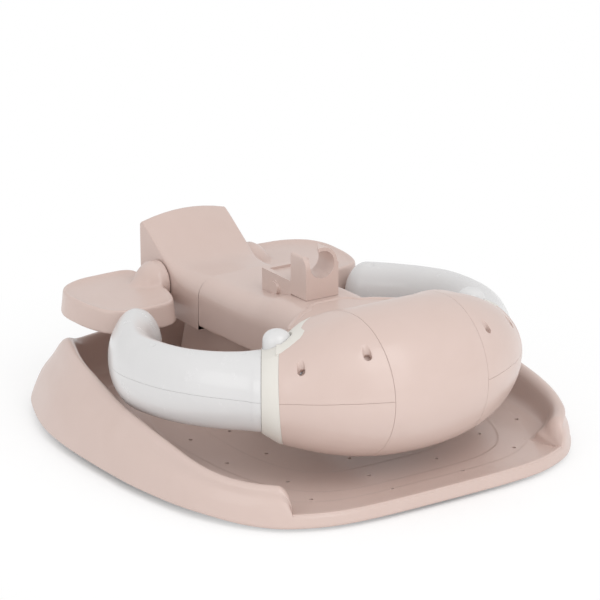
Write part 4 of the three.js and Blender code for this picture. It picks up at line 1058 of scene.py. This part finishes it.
def holder_profile():
    """Front outline of the hook block: left post, open bore and curled right horn."""
    bottom, half, bore_z, bore = 130.9, 17.1, 161.6, 12.6
    outer = half - 1.35
    points = [(-half, bottom), (half, bottom), (half, bore_z)]
    points += [(outer * math.cos(a), bore_z + outer * math.sin(a)) for a in np.radians(np.linspace(4, 112, 28))]
    points += [(bore * math.cos(a), bore_z + bore * math.sin(a)) for a in np.radians(np.linspace(112, -210, 84))]
    points += [(-11.9, 167.0), (-12.6, 168.9), (-14, 169.8), (-15.4, 169.6), (-16.7, 168.4), (-half, 166.4)]
    return points


def build_holder():
    profile = holder_profile()
    rings = [[(x, y, z) for x, z in profile] for y in (-43.2, -18.2)]
    hook = lofted("holder_finished", rings)
    corner = block("corner", (-30, -50, 158), (-4, -31.2, 180))
    cut_away(corner, rod("kept", (-40, -31.2, 158), (10, -31.2, 158), 12, 96))
    cut_away(hook, corner)
    slant = math.atan2(27, 17.5)
    spike = block("spike", (-56.25, -29.6, 161.8), (63.75, -0.1 - 29.4 + 40, 190), 0)
    open_mesh(spike)
    bpy.ops.mesh.select_all(action="SELECT")
    turn(slant, at(3.75, -29.6, 170))
    close_mesh(spike)
    sliced(spike, at(-9.5, 0, 0), (-1, 0, 0), fill=True)
    cut_away(hook, spike)
    tail = block("tail", (-17.1, -18.5, 118.5), (17.1, 29, 142.6))
    trough = block("trough", (-12.1, -18.2, 140.5), (12.1, 24, 150))
    cut_away(tail, trough)
    cut_away(hook, tail, "UNION")
    for side in (-1, 1):
        tab = rod("tab", (side * 16.8, 6.5, 129.5), (side * 19.7, 6.5, 129.5), 7, 48, 6.2)
        cut_away(hook, tab, "UNION")
    soften(hook, 1.25, 4, 40)
    dress(hook, "shell_pink", "base", "shower_holder")


build_holder()


# Feet and other CAD nodes

def build_feet():
    top = 13.8 - 3 - 0.7 - 0.3
    rise = top * 0.55
    profile = smooth_line([(0.01, rise * 0.5), (13.8, rise * 0.34), (19.8, 0.0), (22.4, 0.0), (23, 0.65), (19.3, 2.9),
                           (7, rise)], 5) + [np.array([7, top]), np.array([0.01, top])]
    profile = [(radius, max(height, 0.0)) for radius, height in profile]
    for row, y_share in (("front", -0.5794), ("rear", 0.6009)):
        for word, side in (("left", -1), ("right", 1)):
            foot = spun(f"foot_{row}_{word}", profile, side * 0.5841 * TRAY_HALF, y_share * TRAY_REACH)
            dress(foot, "foot_rubber", "base", f"suction_foot_{row}_{word}")


build_feet()

for name, node in frame["nodes"].items():
    slot_name = next((m["slot"] for m in frame["record"]["materials"]
                      if m.get("slot") in FINISHES and node.data.materials and node.data.materials[0]
                      and node.data.materials[0].name.split(".")[0] == m["slot"]), None)
    if "screw" in name or "spring" in name or "axle" in name:
        slot_name = "screw_steel"
    elif name in ("seat_chassis", "bumper_frame"):
        slot_name = "frame_nylon"
    slot_name = slot_name or "shell_pink"
    for socket in node.material_slots:
        socket.material = FINISHES[slot_name]


# Floor, light and camera

def build_studio():
    bpy.ops.mesh.primitive_plane_add(size=14, location=(0, 0, 0))
    floor = settle("studio_floor")
    look = Finish("studio_white", Roughness=0.9)
    look.shader.inputs["Base Color"].default_value = (0.97, 0.97, 0.97, 1)
    look.shader.inputs["Specular IOR Level"].default_value = 0.1
    rays = look.nodes.new("ShaderNodeLightPath")
    glow = look.nodes.new("ShaderNodeEmission")
    glow.inputs["Color"].default_value = (1, 1, 1, 1)
    blend = look.nodes.new("ShaderNodeMixShader")
    seen = Value(look, rays.outputs["Is Camera Ray"])
    spread = look.add("ShaderNodeVectorMath", {"operation": "LENGTH"}, {0: look.add(
        "ShaderNodeVectorMath", {"operation": "MULTIPLY"}, {0: look.place(), 1: (1 / 0.214, 1 / 0.233, 0)})}, output=1)
    beside = look.add("ShaderNodeMapRange", {}, {"Value": spread, 1: 0.9, 2: 1.12, 3: 0.0, 4: 0.6})
    open_floor = beside + look.add("ShaderNodeMapRange", {}, {"Value": spread, 1: 1.12, 2: 2.0, 3: 0.0, 4: 0.4})
    look.links.new((seen * open_floor).socket, blend.inputs[0])
    look.links.new(look.shader.outputs[0], blend.inputs[1])
    look.links.new(glow.outputs[0], blend.inputs[2])
    look.links.new(blend.outputs[0], look.nodes["Material Output"].inputs["Surface"])
    floor.data.materials.append(look.material)

    world = bpy.data.worlds.new("studio")
    bpy.context.scene.world = world
    world.use_nodes = True
    nodes, links = world.node_tree.nodes, world.node_tree.links
    back = nodes["Background"]
    back.inputs["Color"].default_value = (1, 1, 1, 1)
    back.inputs["Strength"].default_value = 0.89
    bright = nodes.new("ShaderNodeBackground")
    bright.inputs["Strength"].default_value = 1.0
    rays = nodes.new("ShaderNodeLightPath")
    blend = nodes.new("ShaderNodeMixShader")
    seen = None
    for ray in ("Is Camera Ray", "Is Glossy Ray", "Is Transmission Ray"):
        if seen is None:
            seen = rays.outputs[ray]
            continue
        either = nodes.new("ShaderNodeMath")
        either.operation = "MAXIMUM"
        links.new(seen, either.inputs[0])
        links.new(rays.outputs[ray], either.inputs[1])
        seen = either.outputs[0]
    links.new(seen, blend.inputs[0])
    links.new(back.outputs[0], blend.inputs[1])
    links.new(bright.outputs[0], blend.inputs[2])
    links.new(blend.outputs[0], nodes["World Output"].inputs["Surface"])

    def softbox(name, place, target, size, power, colour=(1, 1, 1)):
        lamp = bpy.data.lights.new(name, "AREA")
        lamp.shape = "RECTANGLE"
        lamp.size, lamp.size_y = size
        lamp.energy = power
        lamp.color = colour
        holder = bpy.data.objects.new(name, lamp)
        holder.location = place
        holder.rotation_euler = (Vector(target) - Vector(place)).to_track_quat("-Z", "Y").to_euler()
        bpy.context.scene.collection.objects.link(holder)
    softbox("front_softbox", (0, -1.854, 0.749), (0, 0, 0.08), (1, 1), 3.5)
    softbox("high_softbox", (0, -1.286, 1.532), (0, 0, 0.08), (1, 1), 7)
    softbox("left_softbox", (-1.85, -0.35, 0.8), (0, 0, 0.08), (1, 1), 3.4)


def build_camera():
    camera = bpy.data.cameras.new("photo_camera")
    camera.sensor_width = 36
    camera.sensor_fit = "HORIZONTAL"
    camera.lens = 162
    eye = bpy.data.objects.new("photo_camera", camera)
    eye.location = (-1.2562, -1.9249, 0.8902)
    eye.rotation_euler = Vector((0.51935, 0.79282, -0.31894)).to_track_quat("-Z", "Y").to_euler()
    bpy.context.scene.collection.objects.link(eye)
    bpy.context.scene.camera = eye


build_studio()
build_camera()
bpy.context.scene.view_settings.view_transform = "Standard"
